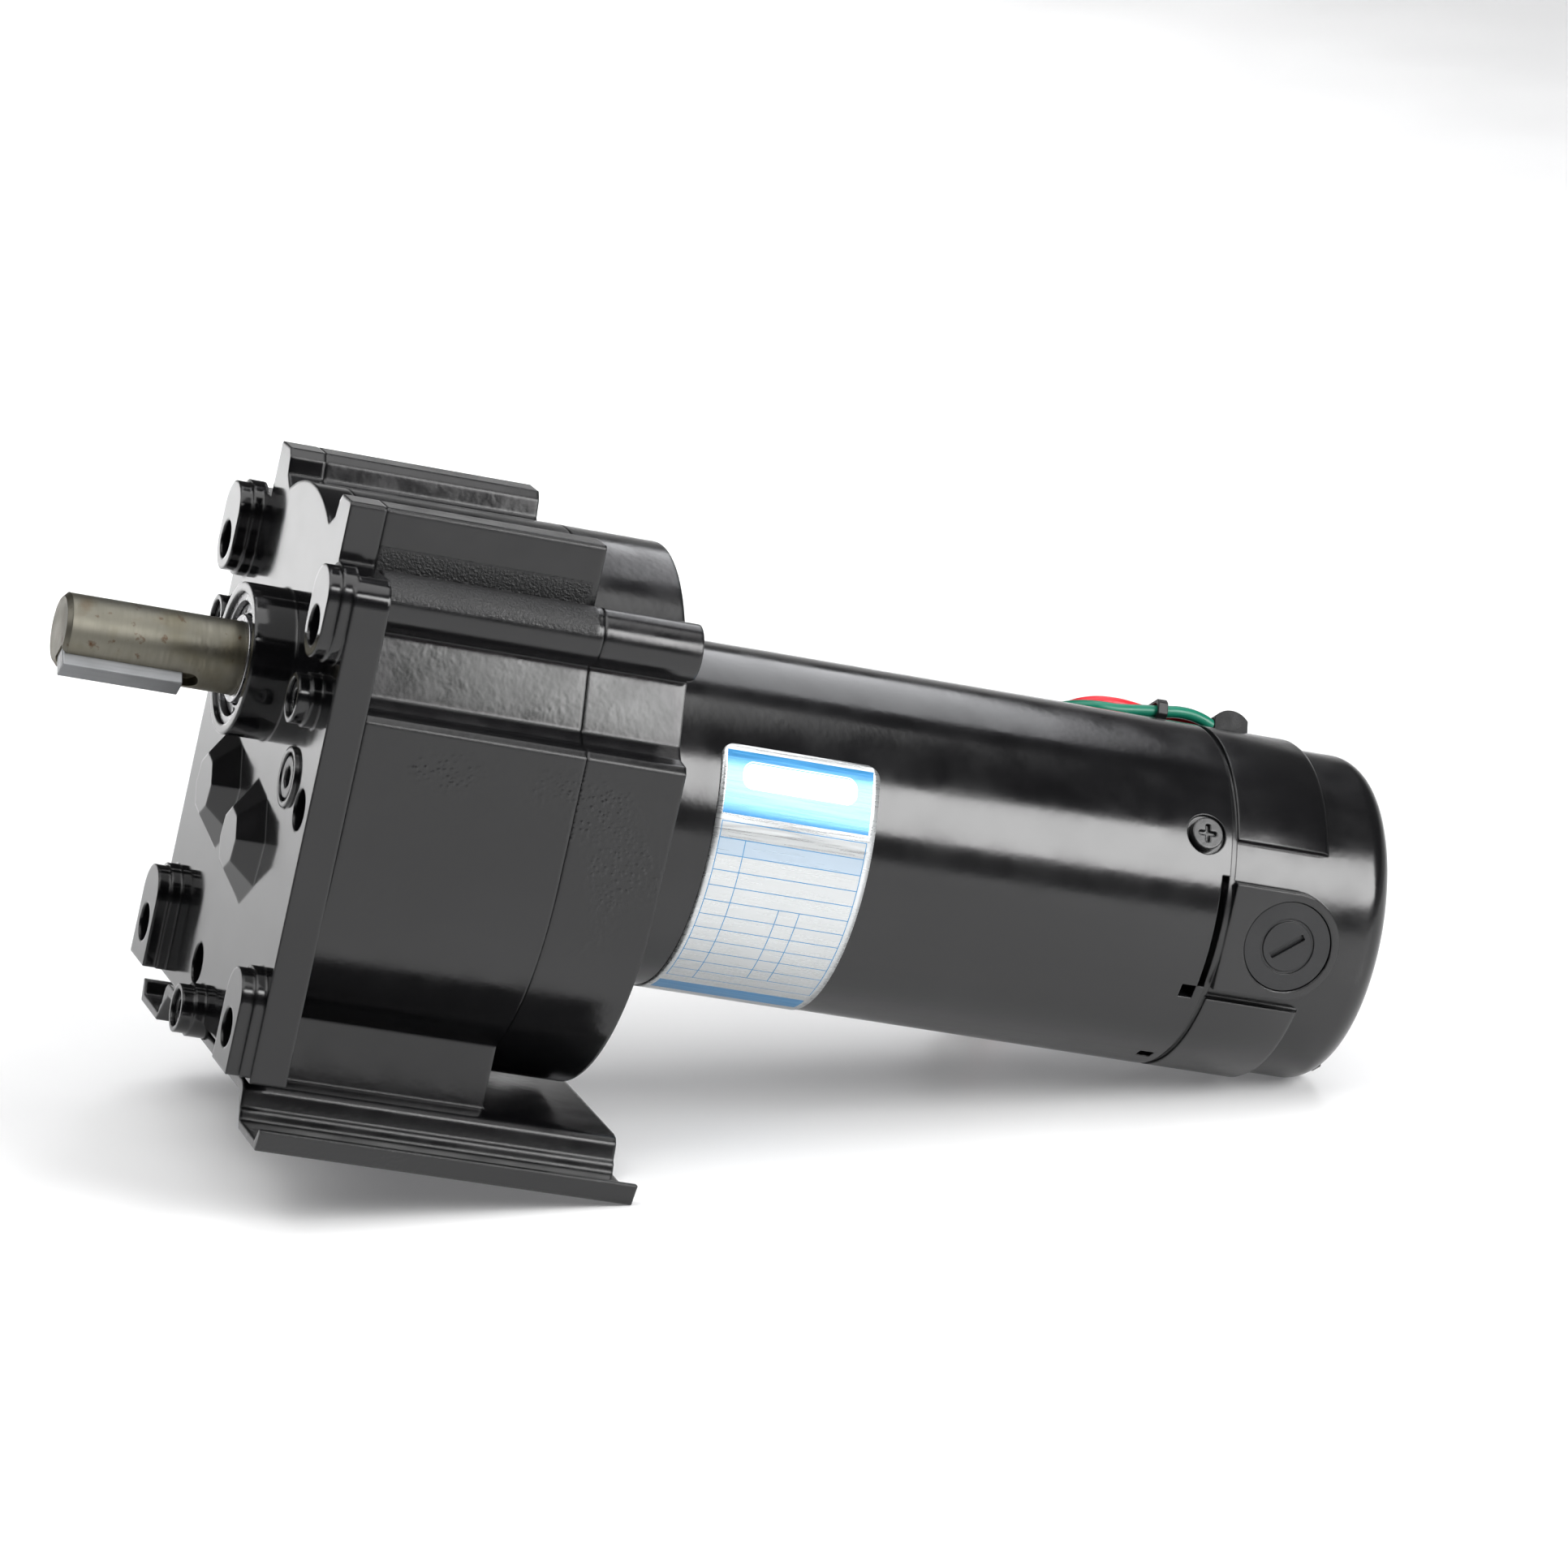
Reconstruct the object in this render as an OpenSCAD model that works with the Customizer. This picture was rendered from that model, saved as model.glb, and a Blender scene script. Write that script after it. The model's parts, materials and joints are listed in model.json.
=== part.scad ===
// Parallel-shaft gearmotor: brushed permanent-magnet DC motor with a three-stage spur gearbox.
// Millimetres. +X runs from the output shaft towards the rear of the motor, +Z is up,
// and the origin is at the bottom centre of the overall box, on the mounting plane.

/* [Frame] */
// Height of the motor axis above the mounting plane
motor_z = 73; // [70:0.5:76]
// Height of the output shaft above the motor axis
output_rise = 17.8; // [17:0.1:19]

/* [Output shaft] */
// Diameter of the output shaft
shaft_d = 15.875; // [14:0.125:16]
// Length of the shaft that stands out of its bearing boss
shaft_out = 38.1; // [32:0.1:45]
// Width and height of the square key
key_w = 4.76; // [4:0.02:5]
// Length of the key
key_len = 27; // [20:1:29]
// Angle of the key round the shaft, 0 towards +Y
key_angle = 225; // [0:5:355]

/* [Gearbox] */
// Front face of the cover plate along X
cover_face_x = -101.4; // [-102:0.1:-101]
// Joint between the cover and the gear housing along X
cover_joint_x = -93.5; // [-94:0.1:-93]
// Joint between the gear housing and the motor adapter along X
adapter_joint_x = -45; // [-46:0.5:-44]
// Rear face of the motor adapter along X
adapter_rear_x = -23; // [-24:0.5:-22]
// Half width of the gear housing
case_half_w = 51.5; // [50.5:0.5:53]
// Half width of the necks that carry the base and the top rails
neck_half_w = 33; // [32:0.5:34]
// Height of the top rails above the mounting plane
rail_top_z = 133.5; // [132:0.5:135]
// Wall thickness of the gear housing
case_wall = 5; // [4.5:0.25:5.5]

/* [Mounting] */
// Half spacing of the four face mounting holes across and up
face_hole_half = 43.5; // [43:0.25:44]
// Height of the middle of the face hole pattern
face_hole_z = 64.9; // [64:0.1:66]
// Diameter of the face mounting holes
face_hole_d = 8.4; // [7:0.1:8.8]
// Half width of the base over its outer lips
base_half_w = 61; // [60:0.5:62]
// Front end of the base along X
base_front_x = -99.5; // [-100:0.1:-99]
// Rear end of the base along X
base_rear_x = -16.5; // [-20:0.5:-14]

/* [Gear train] */
// Teeth of the three pinions, from the motor outwards
pinion_teeth = [10, 11, 12];
// Teeth of the three gears, from the motor outwards
gear_teeth = [43, 49, 48];
// Module of the three stages, from the motor outwards
modules = [0.8, 1, 1.25];
// Profile shift, added to each pinion and taken from its gear
profile_shift = 0.42; // [0.3:0.02:0.45]
// Gap left between the teeth of a meshed pair at the pitch line
backlash = 0.12; // [0.08:0.01:0.2]

/* [Motor] */
// Outer diameter of the motor tube
tube_d = 76.2; // [75:0.1:77]
// Wall thickness of the motor tube
tube_wall = 5; // [4.5:0.1:5.2]
// Rear end of the motor tube along X
tube_rear_x = 108.5; // [107:0.5:110]
// Rear face of the end cap along X
cap_rear_x = 148.5; // [147.5:0.5:149.5]
// Radius of the end cap between its raised panels
cap_r = 36.4; // [36:0.1:37]
// Place of the brushes and their caps along X
brush_x = 124.8; // [124:0.1:126]
// Number of armature slots and commutator bars
slots = 16; // [12:2:20]

/* [Hidden] */
$fn = 96;
eps = 0.01;
press_gap = 0.02;
output_z = motor_z + output_rise;
shaft_r = shaft_d / 2;
tube_r = tube_d / 2;
tube_in_r = tube_r - tube_wall;
base_plate_top = 9.5;
base_plate_under = 7;
boss_face_x = cover_face_x - 5.2;
boss_step_x = cover_face_x - 2.4;
mount_boss_r = 6.7;
screw_boss_r = 5.3;
screw_boss_step = 0.5;
bearing_face_x = cover_face_x - 9.4;
shaft_end_x = bearing_face_x - shaft_out;
cover_inner_x = cover_face_x + 5;
adapter_wall_x = adapter_rear_x - 5;
shell_r = 39.8;
round_r = case_half_w;
round_z = motor_z - 10;
shoulder_z = motor_z + 18.5;
column_y = 38.5;
column_z = motor_z + 42;
column_r = 6.3;
cover_top_z = motor_z + 47.8;
cover_low_z = 12;
side_screws = [[-38.3, motor_z + 18.7], [38.3, motor_z + 18.7]];
base_screw = [1, 13.4];
screw_shank_r = 2.1;
screw_clear_r = 2.3;
screw_thread_r = 2.15;
side_screw_len = 66;
base_screw_len = 30;
screw_head_x = boss_face_x + 0.9;
screw_head_r = 4;
screw_head_h = 3.7;
shank_x = screw_head_x + screw_head_h;
dowel_r = 1.98;
plug_spot = [-31.3, motor_z + 0.5];
spare_spots = [[-43.9, motor_z - 3.5], [11, motor_z - 51.5]];
dowel_spots = [[-46.6, 84], [29.5, 16]];

// Centre distances of the three stages and the places of the two intermediate shafts
stage_gap = [for (i = [0 : 2]) modules[i] * (pinion_teeth[i] + gear_teeth[i]) / 2];
motor_spot = [0, motor_z];
output_spot = [0, output_z];
first_angle = -117.66;
first_spot = motor_spot + stage_gap[0] * [cos(first_angle), sin(first_angle)];
second_spot = meet(first_spot, stage_gap[1], output_spot, stage_gap[2]);

// Stations of the gears along X: [front, rear]
gear1_x = [-50, -41];
pinion1_x = [-51, -39];
gear2_x = [-68, -58];
pinion2_x = [-69.5, -56.5];
gear3_x = [-90, -74];
pinion3_x = [-91.5, -72.5];
snap_ring_x = [gear3_x[0] - 1.4, gear3_x[1] + 0.2];
journal_front = [-101.2, -94.6];
journal_rear = [-35.5, -28.5];
output_bush_x = [-37.5, -28.5];
journal_r = 4;
bush_r = 6;
pin_r = 4.6;

// Bearings: [front, rear] along X
front_bearing_x = [bearing_face_x + 0.8, bearing_face_x + 8.8];
seal_x = [-101.4, -96];
motor_front_bearing_x = [-27.4, -20.4];
motor_rear_bearing_x = [137.4, 144.4];
front_bearing_r = 14.3;
motor_bearing_r = 11;
motor_journal_r = 4;
output_journal_r = 6;
shaft_step_x = -68;
running_gap = 0.04;

// Motor stations along X
magnet_x = [8, 90];
core_x = [14, 84];
commutator_x = [114, 135];
commutator_r = 14;
core_r = 26.6;
magnet_in_r = 27.4;
magnet_half_angle = 61;
bolt_angle = 68;
bolt_radius = 30.4;
bolt_sink = 4.5;
panel_end_x = 132;
pad_y = 37.4;
pad_r = 12;
brush_cap_r = 10;
cap_screw_angle = 33;
cap_screw_x = 102.3;

// Nameplate on the tube: stations along X and angles about the axis, 180 towards -Y
plate_x = [-10, 26];
plate_angles = [143, 268];
plate_t = 0.2;

// The gearmotor rests tipped back, on the rear edge of its feet and the rear edge of the end cap:
// height of that surface above the base plane at a station X
function rest_height(x) = (x - base_rear_x) * tan(tip_angle);
tip_angle = 13.2;

// Leads: from the bush the routes run along the tube, bend over its far side and hang down beside it.
// Their points are [X, distance round the tube from the exit line, lift off the tube].
lead_r = 1.35;
lead_exit_angle = 62;
bush_x = 121;
tie_x = 104;
red_on_tube = [
    [117, 0, 1.4], [114, 0, 2.6], [110, 0, 3.2], [104, 0, 2.6], [99, 0, 3.3], [94, 0, 3.6],
    [89, 1, 3.3], [85, 4, 2.5], [82.4, 9, 1.8], [81.5, 15, 1.5], [81.3, 23, 1.4], [81.3, 31, 1.4]
];
green_on_tube = [
    [117, -2.9, 1.4], [114, -2.9, 2.6], [110, -2.9, 3.2], [104, -2.9, 2.6], [99, -2.9, 2], [94, -3, 1.4],
    [88, -2, 1.4], [83, 2, 1.4], [79.4, 8, 1.4], [78, 15, 1.4], [77.6, 23, 1.4], [77.5, 31, 1.4]
];
black_on_tube = [
    [117, 2.9, 1.4], [114, 2.9, 2.6], [110, 2.9, 3.2], [104, 2.9, 2.6], [99, 2.9, 2], [94, 3, 1.4],
    [90, 4, 1.4], [87, 6.5, 1.4], [85.4, 11, 1.4], [85, 17, 1.4], [85, 24, 1.4], [85, 31, 1.4]
];
// From there each lead bends onto the surface and lies along it behind the end cap: points are
// [X, Y, height above that surface].
red_below = [
    [81.3, 39.9, 52], [81.3, 40.3, 42], [81.6, 41, 32], [82.6, 42.2, 22.2], [85, 43.8, 13.5],
    [89.2, 45.4, 6.9], [95.2, 46.8, 3], [102.5, 47.8, 1.9], [112.5, 48.8, 1.8], [122.5, 49.6, 1.8],
    [132.5, 50, 1.8], [141, 49.8, 1.8]
];
green_below = [
    [77.5, 39.9, 53], [77.5, 40.3, 43], [77.8, 41.2, 33.1], [78.9, 43, 23.4], [81.3, 45.4, 14.2],
    [85.5, 47.8, 7.1], [91.5, 49.8, 3.1], [98.5, 51.2, 1.9], [108.5, 52.6, 1.8], [118.5, 53.6, 1.8],
    [129, 54, 1.8], [139.5, 53.8, 1.8]
];
black_below = [
    [85, 39.9, 51.1], [85, 40.2, 41.1], [85.3, 40.6, 31.3], [86.3, 41.2, 21.5], [88.7, 42.2, 13],
    [92.9, 43.2, 6.8], [98.9, 44, 2.9], [106.5, 44.6, 1.9], [116.5, 45.2, 1.8], [126.5, 45.8, 1.8],
    [135, 45.9, 1.8], [142, 45.6, 1.8]
];

// ---- Helpers ----

// The crossing of two circles that lies furthest towards +Y
function meet(a, ra, b, rb) =
    let (d = norm(b - a),
         along = (ra * ra - rb * rb + d * d) / (2 * d),
         side = sqrt(ra * ra - along * along),
         u = (b - a) / d)
    a + along * u + side * [u[1], -u[0]];

// A cylinder along X between two stations, centred on a spot [y, z]
module rod(span, r, spot = [0, 0]) {
    translate([span[0], spot[0], spot[1]]) rotate([0, 90, 0]) cylinder(h = span[1] - span[0], r = r);
}

// A tube along X
module ring(span, r_out, r_in, spot = [0, 0]) {
    difference() {
        rod(span, r_out, spot);
        rod([span[0] - 1, span[1] + 1], r_in, spot);
    }
}

// A flat outline, drawn across Y and Z, pushed along X
module along_x(span) {
    translate([span[0], 0, 0]) rotate([90, 0, 90]) linear_extrude(span[1] - span[0]) children();
}

// Children and their mirror image across the middle plane
module both_sides() {
    children();
    mirror([0, 1, 0]) children();
}

// The same for flat outlines
module both_halves() {
    children();
    mirror([1, 0]) children();
}

// A disc outline at a spot
module disc(spot, r) {
    translate(spot) circle(r);
}

// A block between two corners
module block(low, high) {
    translate(low) cube(high - low);
}

// ---- Involute gears ----

pressure = 20;
function inv_deg(a) = tan(a) * 180 / PI - a;
function flank_angle(rho, rb, half) = half - (rho > rb ? inv_deg(acos(rb / rho)) : 0);
function polar(r, a) = [r * cos(a), r * sin(a)];

// Flank radii from root to tip
function flank_radii(root, rb, tip) =
    let (low = max(root + 0.02, rb)) [root, low, low + (tip - low) / 3, low + 2 * (tip - low) / 3, tip];

// Outline of a gear: module m, z teeth, profile shift x, one tooth centred on the angle turn
function gear_points(m, z, x, turn) =
    let (r = m * z / 2,
         rb = r * cos(pressure),
         tip = r + m * (1 + x),
         root = r - m * (1.25 - x),
         half = (90 + (2 * x * tan(pressure) - backlash / (2 * m)) * 180 / PI) / z + inv_deg(pressure),
         radii = flank_radii(root, rb, tip),
         last = len(radii) - 1)
    [for (i = [0 : z - 1], k = [0 : 2 * last + 1])
        let (up = k <= last,
             rho = radii[up ? k : 2 * last + 1 - k],
             side = up ? -1 : 1)
        polar(rho, turn + i * 360 / z + side * flank_angle(rho, rb, half))];

module gear_blank(span, spot, m, z, x, turn) {
    translate([span[0], spot[0], spot[1]]) rotate([90, 0, 90])
        linear_extrude(span[1] - span[0]) polygon(gear_points(m, z, x, turn));
}

// Turn of a driven gear that meshes with a driver whose tooth is at driver_turn
function mesh_turn(from, to, z_from, z_to, driver_turn) =
    let (line = atan2(to[1] - from[1], to[0] - from[0]),
         phase = (line - driver_turn) * z_from / 360)
    line + 180 - (0.5 - phase) * 360 / z_to;

turn_motor = 0;
turn_first = mesh_turn(motor_spot, first_spot, pinion_teeth[0], gear_teeth[0], turn_motor);
turn_second = mesh_turn(first_spot, second_spot, pinion_teeth[1], gear_teeth[1], turn_first);
turn_output = mesh_turn(second_spot, output_spot, pinion_teeth[2], gear_teeth[2], turn_second);

// A gear with a hub, a recessed web on both faces and round lightening holes
module wheel(span, spot, i, turn, bore_r, hub_r, web_r, holes) {
    mid = (span[0] + span[1]) / 2;
    web_half = (span[1] - span[0]) / 5;
    difference() {
        gear_blank(span, spot, modules[i], gear_teeth[i], -profile_shift, turn);
        rod([span[0] - 1, span[1] + 1], bore_r, spot);
        for (s = [[span[0] - 1, mid - web_half], [mid + web_half, span[1] + 1]]) ring(s, web_r, hub_r, spot);
        for (k = [0 : holes - 1])
            rod([span[0] - 1, span[1] + 1], (web_r - hub_r) * 0.3,
                spot + polar((web_r + hub_r) / 2, turn + (k + 0.5) * 360 / holes));
    }
}

// ---- Ball bearings ----

// One race as a turned ring with a ball groove
module race(span, spot, r_out, r_in, track_r, groove_r) {
    mid = (span[0] + span[1]) / 2;
    translate([mid, spot[0], spot[1]]) rotate([0, 90, 0]) rotate_extrude() difference() {
        translate([r_in, -(span[1] - span[0]) / 2]) square([r_out - r_in, span[1] - span[0]]);
        translate([track_r, 0]) circle(groove_r);
    }
}

module balls(span, spot, track_r, ball_r, count) {
    mid = (span[0] + span[1]) / 2;
    for (k = [0 : count - 1]) {
        p = spot + polar(track_r, k * 360 / count);
        translate([mid, p[0], p[1]]) sphere(ball_r);
    }
}

front_track_r = 10.95;
front_ball_r = 1.9;
front_balls = 9;
motor_track_r = 7.5;
motor_ball_r = 1.7;
motor_balls = 7;

// ---- Gearbox outlines ----

// Side of the case above its shoulder: a sloping panel up to the bolt column
module case_shoulder() {
    polygon([
        [-case_half_w, shoulder_z - 2], [-case_half_w, shoulder_z], [-case_half_w + 1.2, shoulder_z + 1.4],
        [-46, shoulder_z + 1.8], [-43, shoulder_z + 4], [-42, shoulder_z + 7],
        [-37.4, column_z - 4.6], [-neck_half_w, column_z + 3], [0, column_z + 3], [0, shoulder_z - 2]
    ]);
    disc([-column_y, column_z], column_r);
}

// Lower and side walls, the round shell over the output gear and the bolt columns
module case_outline() {
    intersection() {
        disc([0, round_z], round_r);
        translate([-round_r, 0]) square([2 * round_r, round_z + 1]);
    }
    translate([-case_half_w, round_z]) square([2 * case_half_w, shoulder_z - round_z - 1]);
    disc([0, output_z], shell_r);
    both_halves() case_shoulder();
}

// Space for the gears
module cavity_outline() {
    inner = round_r - case_wall;
    intersection() {
        disc([0, round_z], inner);
        translate([-inner, 0]) square([2 * inner, shoulder_z - 5]);
    }
    disc([0, output_z], shell_r - case_wall);
}

// Rails on top of the case, one each side of the shell
module top_rail_outline() {
    both_halves() polygon([
        [-neck_half_w, column_z - 8], [-neck_half_w, rail_top_z - 0.6], [-neck_half_w + 0.6, rail_top_z],
        [-25.2, rail_top_z], [-23.6, rail_top_z - 1.6], [-22.6, rail_top_z - 5.4], [-19.5, rail_top_z - 7.4],
        [-14, rail_top_z - 8], [-14, column_z - 8]
    ]);
}

// Neck under the case
module neck_outline() {
    difference() {
        translate([-neck_half_w, base_plate_under + 1]) square([2 * neck_half_w, 42]);
        disc([0, round_z], round_r - case_wall);
    }
}

// One side of the base: a plate, a web with a small step, and a foot with a raised outer lip
module base_outline() {
    both_halves() polygon([
        [0, base_plate_top], [-37.6, base_plate_top], [-39.4, 9.1], [-40.5, 8.1], [-40.9, 6.6], [-41.2, 4.4],
        [-42, 4], [-42.6, 1.9], [-base_half_w + 3.6, 1.9], [-base_half_w + 1.7, 4.8], [-base_half_w, 4.8],
        [-base_half_w + 1.5, 0], [-43.2, 0], [-38.8, 5.2], [-36.6, base_plate_under], [0, base_plate_under]
    ]);
}

// Cover plate: full-width corners, rails on top
module cover_outline() {
    corner = 6;
    translate([-case_half_w, cover_low_z]) square([2 * case_half_w, cover_top_z - corner - cover_low_z]);
    translate([-case_half_w + corner, cover_low_z])
        square([2 * (case_half_w - corner), cover_top_z - cover_low_z]);
    both_halves() disc([-case_half_w + corner, cover_top_z - corner], corner);
    disc([0, output_z], shell_r);
    top_rail_outline();
}

// ---- Gearbox castings ----

// Holes at the two side screws and the base screw, which hold cover, case and adapter together
module screw_holes(span, r) {
    for (s = concat(side_screws, [base_screw])) rod(span, r, s);
}

module gear_housing() {
    color("#1b1c1e") difference() {
        union() {
            along_x([cover_joint_x, adapter_joint_x]) difference() {
                union() {
                    case_outline();
                    top_rail_outline();
                    neck_outline();
                }
                cavity_outline();
            }
            along_x([base_front_x, base_rear_x]) base_outline();
        }
        for (s = side_screws) rod([cover_joint_x - 1, adapter_joint_x + 1], screw_clear_r, s);
        rod([base_front_x - 1, cover_joint_x], screw_boss_r + screw_boss_step + 0.15, base_screw);
        rod([cover_joint_x - 1, shank_x + base_screw_len + 2], screw_thread_r, base_screw);
        for (s = dowel_spots) rod([cover_joint_x - 1, cover_joint_x + 5], dowel_r + press_gap, s);
    }
}

// Slotted boss round a mounting hole, with the hole at its lower end
module mount_boss(side, hole_z, span, r) {
    y = side * face_hole_half;
    slot = 6.4;
    along_x(span) {
        disc([y, hole_z], r);
        disc([y, hole_z + slot], r);
        translate([y - r, hole_z]) square([2 * r, slot]);
        if (hole_z < motor_z) translate([y - r, hole_z - 8.4]) square([2 * r, 8.4]);
    }
}

// Bosses are stepped: the half next to the plate is a little wider
module mount_bosses() {
    hole_zs = [face_hole_z + face_hole_half, face_hole_z - face_hole_half];
    for (side = [-1, 1], z = hole_zs) {
        mount_boss(side, z, [boss_face_x, boss_step_x], mount_boss_r);
        mount_boss(side, z, [boss_step_x - eps, cover_face_x + 1], mount_boss_r + 0.7);
    }
}

module screw_bosses() {
    for (s = concat(side_screws, [base_screw])) {
        rod([boss_face_x, boss_step_x], screw_boss_r, s);
        rod([boss_step_x - eps, cover_joint_x], screw_boss_r + screw_boss_step, s);
    }
}

// Seat of an intermediate shaft: an eight-sided pyramid with a flat top
module shaft_seat(spot) {
    rise = 4.7;
    low = 12.4;
    top = 6.2;
    translate([cover_face_x, spot[0], spot[1]]) rotate([0, -90, 0])
        intersection_for (k = [0 : 3]) rotate([0, 0, 34.5 + 45 * k]) rotate([90, 0, 0])
            translate([0, 0, -low - 2]) linear_extrude(2 * low + 4)
                polygon([[-low, -eps], [low, -eps], [top, rise], [-top, rise]]);
    rod([cover_face_x, cover_joint_x - 0.6], 9.5, spot);
}

module output_cover() {
    color("#232427") difference() {
        union() {
            along_x([cover_face_x, cover_inner_x]) cover_outline();
            along_x([cover_inner_x - eps, cover_joint_x]) difference() {
                cover_outline();
                cavity_outline();
            }
            mount_bosses();
            screw_bosses();
            rod([bearing_face_x, cover_joint_x - 0.6], 16.4, output_spot);
            for (s = [first_spot, second_spot]) shaft_seat(s);
            for (s = spare_spots) rod([cover_face_x, cover_joint_x - 0.6], 7, s);
            rod([cover_face_x - 0.8, cover_face_x + 1], 6.5, plug_spot);
        }
        for (y = [-1, 1], z = [-1, 1])
            rod([boss_face_x - 1, cover_joint_x - 0.6], face_hole_d / 2,
                [y * face_hole_half, face_hole_z + z * face_hole_half]);
        for (s = spare_spots) rod([cover_face_x - 1, cover_joint_x - 2], 4.4, s);
        rod([bearing_face_x - 1, front_bearing_x[1]], front_bearing_r + press_gap, output_spot);
        rod([front_bearing_x[1] - 1, cover_joint_x + 1], 13 + press_gap, output_spot);
        for (s = [first_spot, second_spot])
            rod([journal_front[0] - 0.3, cover_joint_x + 1], bush_r + press_gap, s);
        screw_holes([boss_face_x - 1, cover_joint_x + 1], screw_clear_r);
        screw_holes([boss_face_x - 1, shank_x], screw_head_r + 0.1);
        rod([cover_face_x - 1.8, cover_joint_x + 1], 3.2, plug_spot);
        rod([cover_face_x - 1.8, cover_face_x + 1.2], 5.2, plug_spot);
        for (s = dowel_spots) rod([cover_joint_x - 4, cover_joint_x + 1], dowel_r + press_gap, s);
    }
}

// Rear of the gearbox, which is also the drive-end bracket of the motor
module motor_adapter() {
    color("#1b1c1e") difference() {
        union() {
            along_x([adapter_joint_x, adapter_wall_x]) difference() {
                case_outline();
                cavity_outline();
            }
            along_x([adapter_wall_x - eps, adapter_rear_x]) case_outline();
            rod([output_bush_x[0] - 0.5, adapter_wall_x + 1], 10.5, output_spot);
            for (s = [first_spot, second_spot]) rod([journal_rear[0] - 0.5, adapter_wall_x + 1], 8.5, s);
            rod([adapter_wall_x, adapter_rear_x + 5], tube_in_r - 0.1, motor_spot);
        }
        rod([output_bush_x[0] - 1, output_bush_x[1]], 8.5 + press_gap, output_spot);
        for (s = [first_spot, second_spot])
            rod([journal_rear[0] - 1, journal_rear[1]], bush_r + press_gap, s);
        rod([motor_front_bearing_x[0], adapter_rear_x + 6], motor_bearing_r + press_gap, motor_spot);
        rod([adapter_joint_x, motor_front_bearing_x[0] + 1], 6.5, motor_spot);
        difference() {
            rod([adapter_rear_x + 0.01, adapter_rear_x + 6], tube_in_r - 4, motor_spot);
            rod([adapter_rear_x, adapter_rear_x + 7], 15, motor_spot);
        }
        for (s = side_screws)
            rod([adapter_joint_x - 1, shank_x + side_screw_len + 2], screw_thread_r, s);
        for (a = [bolt_angle, bolt_angle + 180])
            rod([adapter_rear_x - 4, adapter_rear_x + 6], 2.22, motor_spot + polar(bolt_radius, a));
    }
}

// ---- Gearbox hardware ----

// A socket-head screw along X with its head towards -X
module socket_screw(spot, length) {
    hex_r = 2.2;
    difference() {
        union() {
            rod([screw_head_x, shank_x], screw_head_r, spot);
            rod([shank_x - eps, shank_x + length], screw_shank_r, spot);
        }
        translate([screw_head_x - 1, spot[0], spot[1]]) rotate([0, 90, 0])
            cylinder(h = 1 + screw_head_h * 0.6, r = hex_r, $fn = 6);
    }
}

module cover_screws() {
    color("#3a3b3d") {
        for (s = side_screws) socket_screw(s, side_screw_len);
        socket_screw(base_screw, base_screw_len);
    }
}

module vent_plug() {
    color("#4a4b4d") difference() {
        union() {
            rod([cover_face_x - 0.6, cover_face_x + 1.2], 4.6, plug_spot);
            rod([cover_face_x + 1.1, cover_joint_x - 1], 3.18, plug_spot);
        }
        translate([cover_face_x - 2, plug_spot[0], plug_spot[1]]) rotate([0, 90, 0])
            cylinder(h = 3.4, r = 2.4, $fn = 6);
    }
}

module dowel_pins() {
    color("#b8b8b8") for (s = dowel_spots) rod([cover_joint_x - 3.8, cover_joint_x + 4.8], dowel_r, s);
}

module front_bearing_outer() {
    color("#c9cacc")
        race(front_bearing_x, output_spot, front_bearing_r, 12.4, front_track_r, front_ball_r + 0.1);
}

module front_bearing_inner() {
    color("#c9cacc") race(front_bearing_x, output_spot, 9.5, shaft_r, front_track_r, front_ball_r + 0.1);
}

module front_bearing_balls() {
    color("#e2e3e5") balls(front_bearing_x, output_spot, front_track_r, front_ball_r, front_balls);
}

// Two thin side rings joined by a rivet between each pair of balls
module front_bearing_cage() {
    mid = (front_bearing_x[0] + front_bearing_x[1]) / 2;
    color("#a9aaac") {
        for (s = [-1, 1]) ring([mid + s * 2.35 - 0.3, mid + s * 2.35 + 0.3], 12, 9.9, output_spot);
        for (k = [0 : front_balls - 1])
            rod([mid - 2.9, mid + 2.9], 0.5,
                output_spot + polar(front_track_r, (k + 0.5) * 360 / front_balls));
    }
}

// Lip seal behind the bearing: a stiff ring with a thin lip round the shaft
module output_oil_seal() {
    color("#2b2b2d") difference() {
        rod(seal_x, 13, output_spot);
        rod([seal_x[0] - 1, seal_x[0] + 1.6], shaft_r + 0.06, output_spot);
        rod([seal_x[0] + 1.4, seal_x[1] + 1], shaft_r + 2, output_spot);
    }
}

module output_rear_bush() {
    color("#b08d57") ring(output_bush_x, 8.5, output_journal_r + running_gap, output_spot);
}

// Slot of the output key, with a round end
module key_slot(depth) {
    low = shaft_r - depth;
    translate([0, 0, output_z]) rotate([key_angle - 90, 0, 0]) {
        block([shaft_end_x - 1, -key_w / 2, low], [shaft_end_x + key_len + 1, key_w / 2, shaft_r + 2]);
        translate([shaft_end_x + key_len + 1, 0, low]) cylinder(h = depth + 2, r = key_w / 2);
    }
}

module output_shaft() {
    chamfer = 1;
    color("#8d8c80") difference() {
        union() {
            translate([shaft_end_x, 0, output_z]) rotate([0, 90, 0])
                cylinder(h = chamfer, r1 = shaft_r - chamfer, r2 = shaft_r);
            rod([shaft_end_x + chamfer - eps, shaft_step_x], shaft_r, output_spot);
            rod([shaft_step_x - eps, journal_rear[1] - 0.5], output_journal_r, output_spot);
        }
        key_slot(key_w / 2);
        for (x = snap_ring_x) ring([x, x + 1.2], shaft_r + 1, shaft_r - 0.7, output_spot);
        block([gear3_x[0] + 1, -2, output_z + shaft_r - 2], [gear3_x[1] - 1, 2, output_z + shaft_r + 2]);
    }
}

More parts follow.
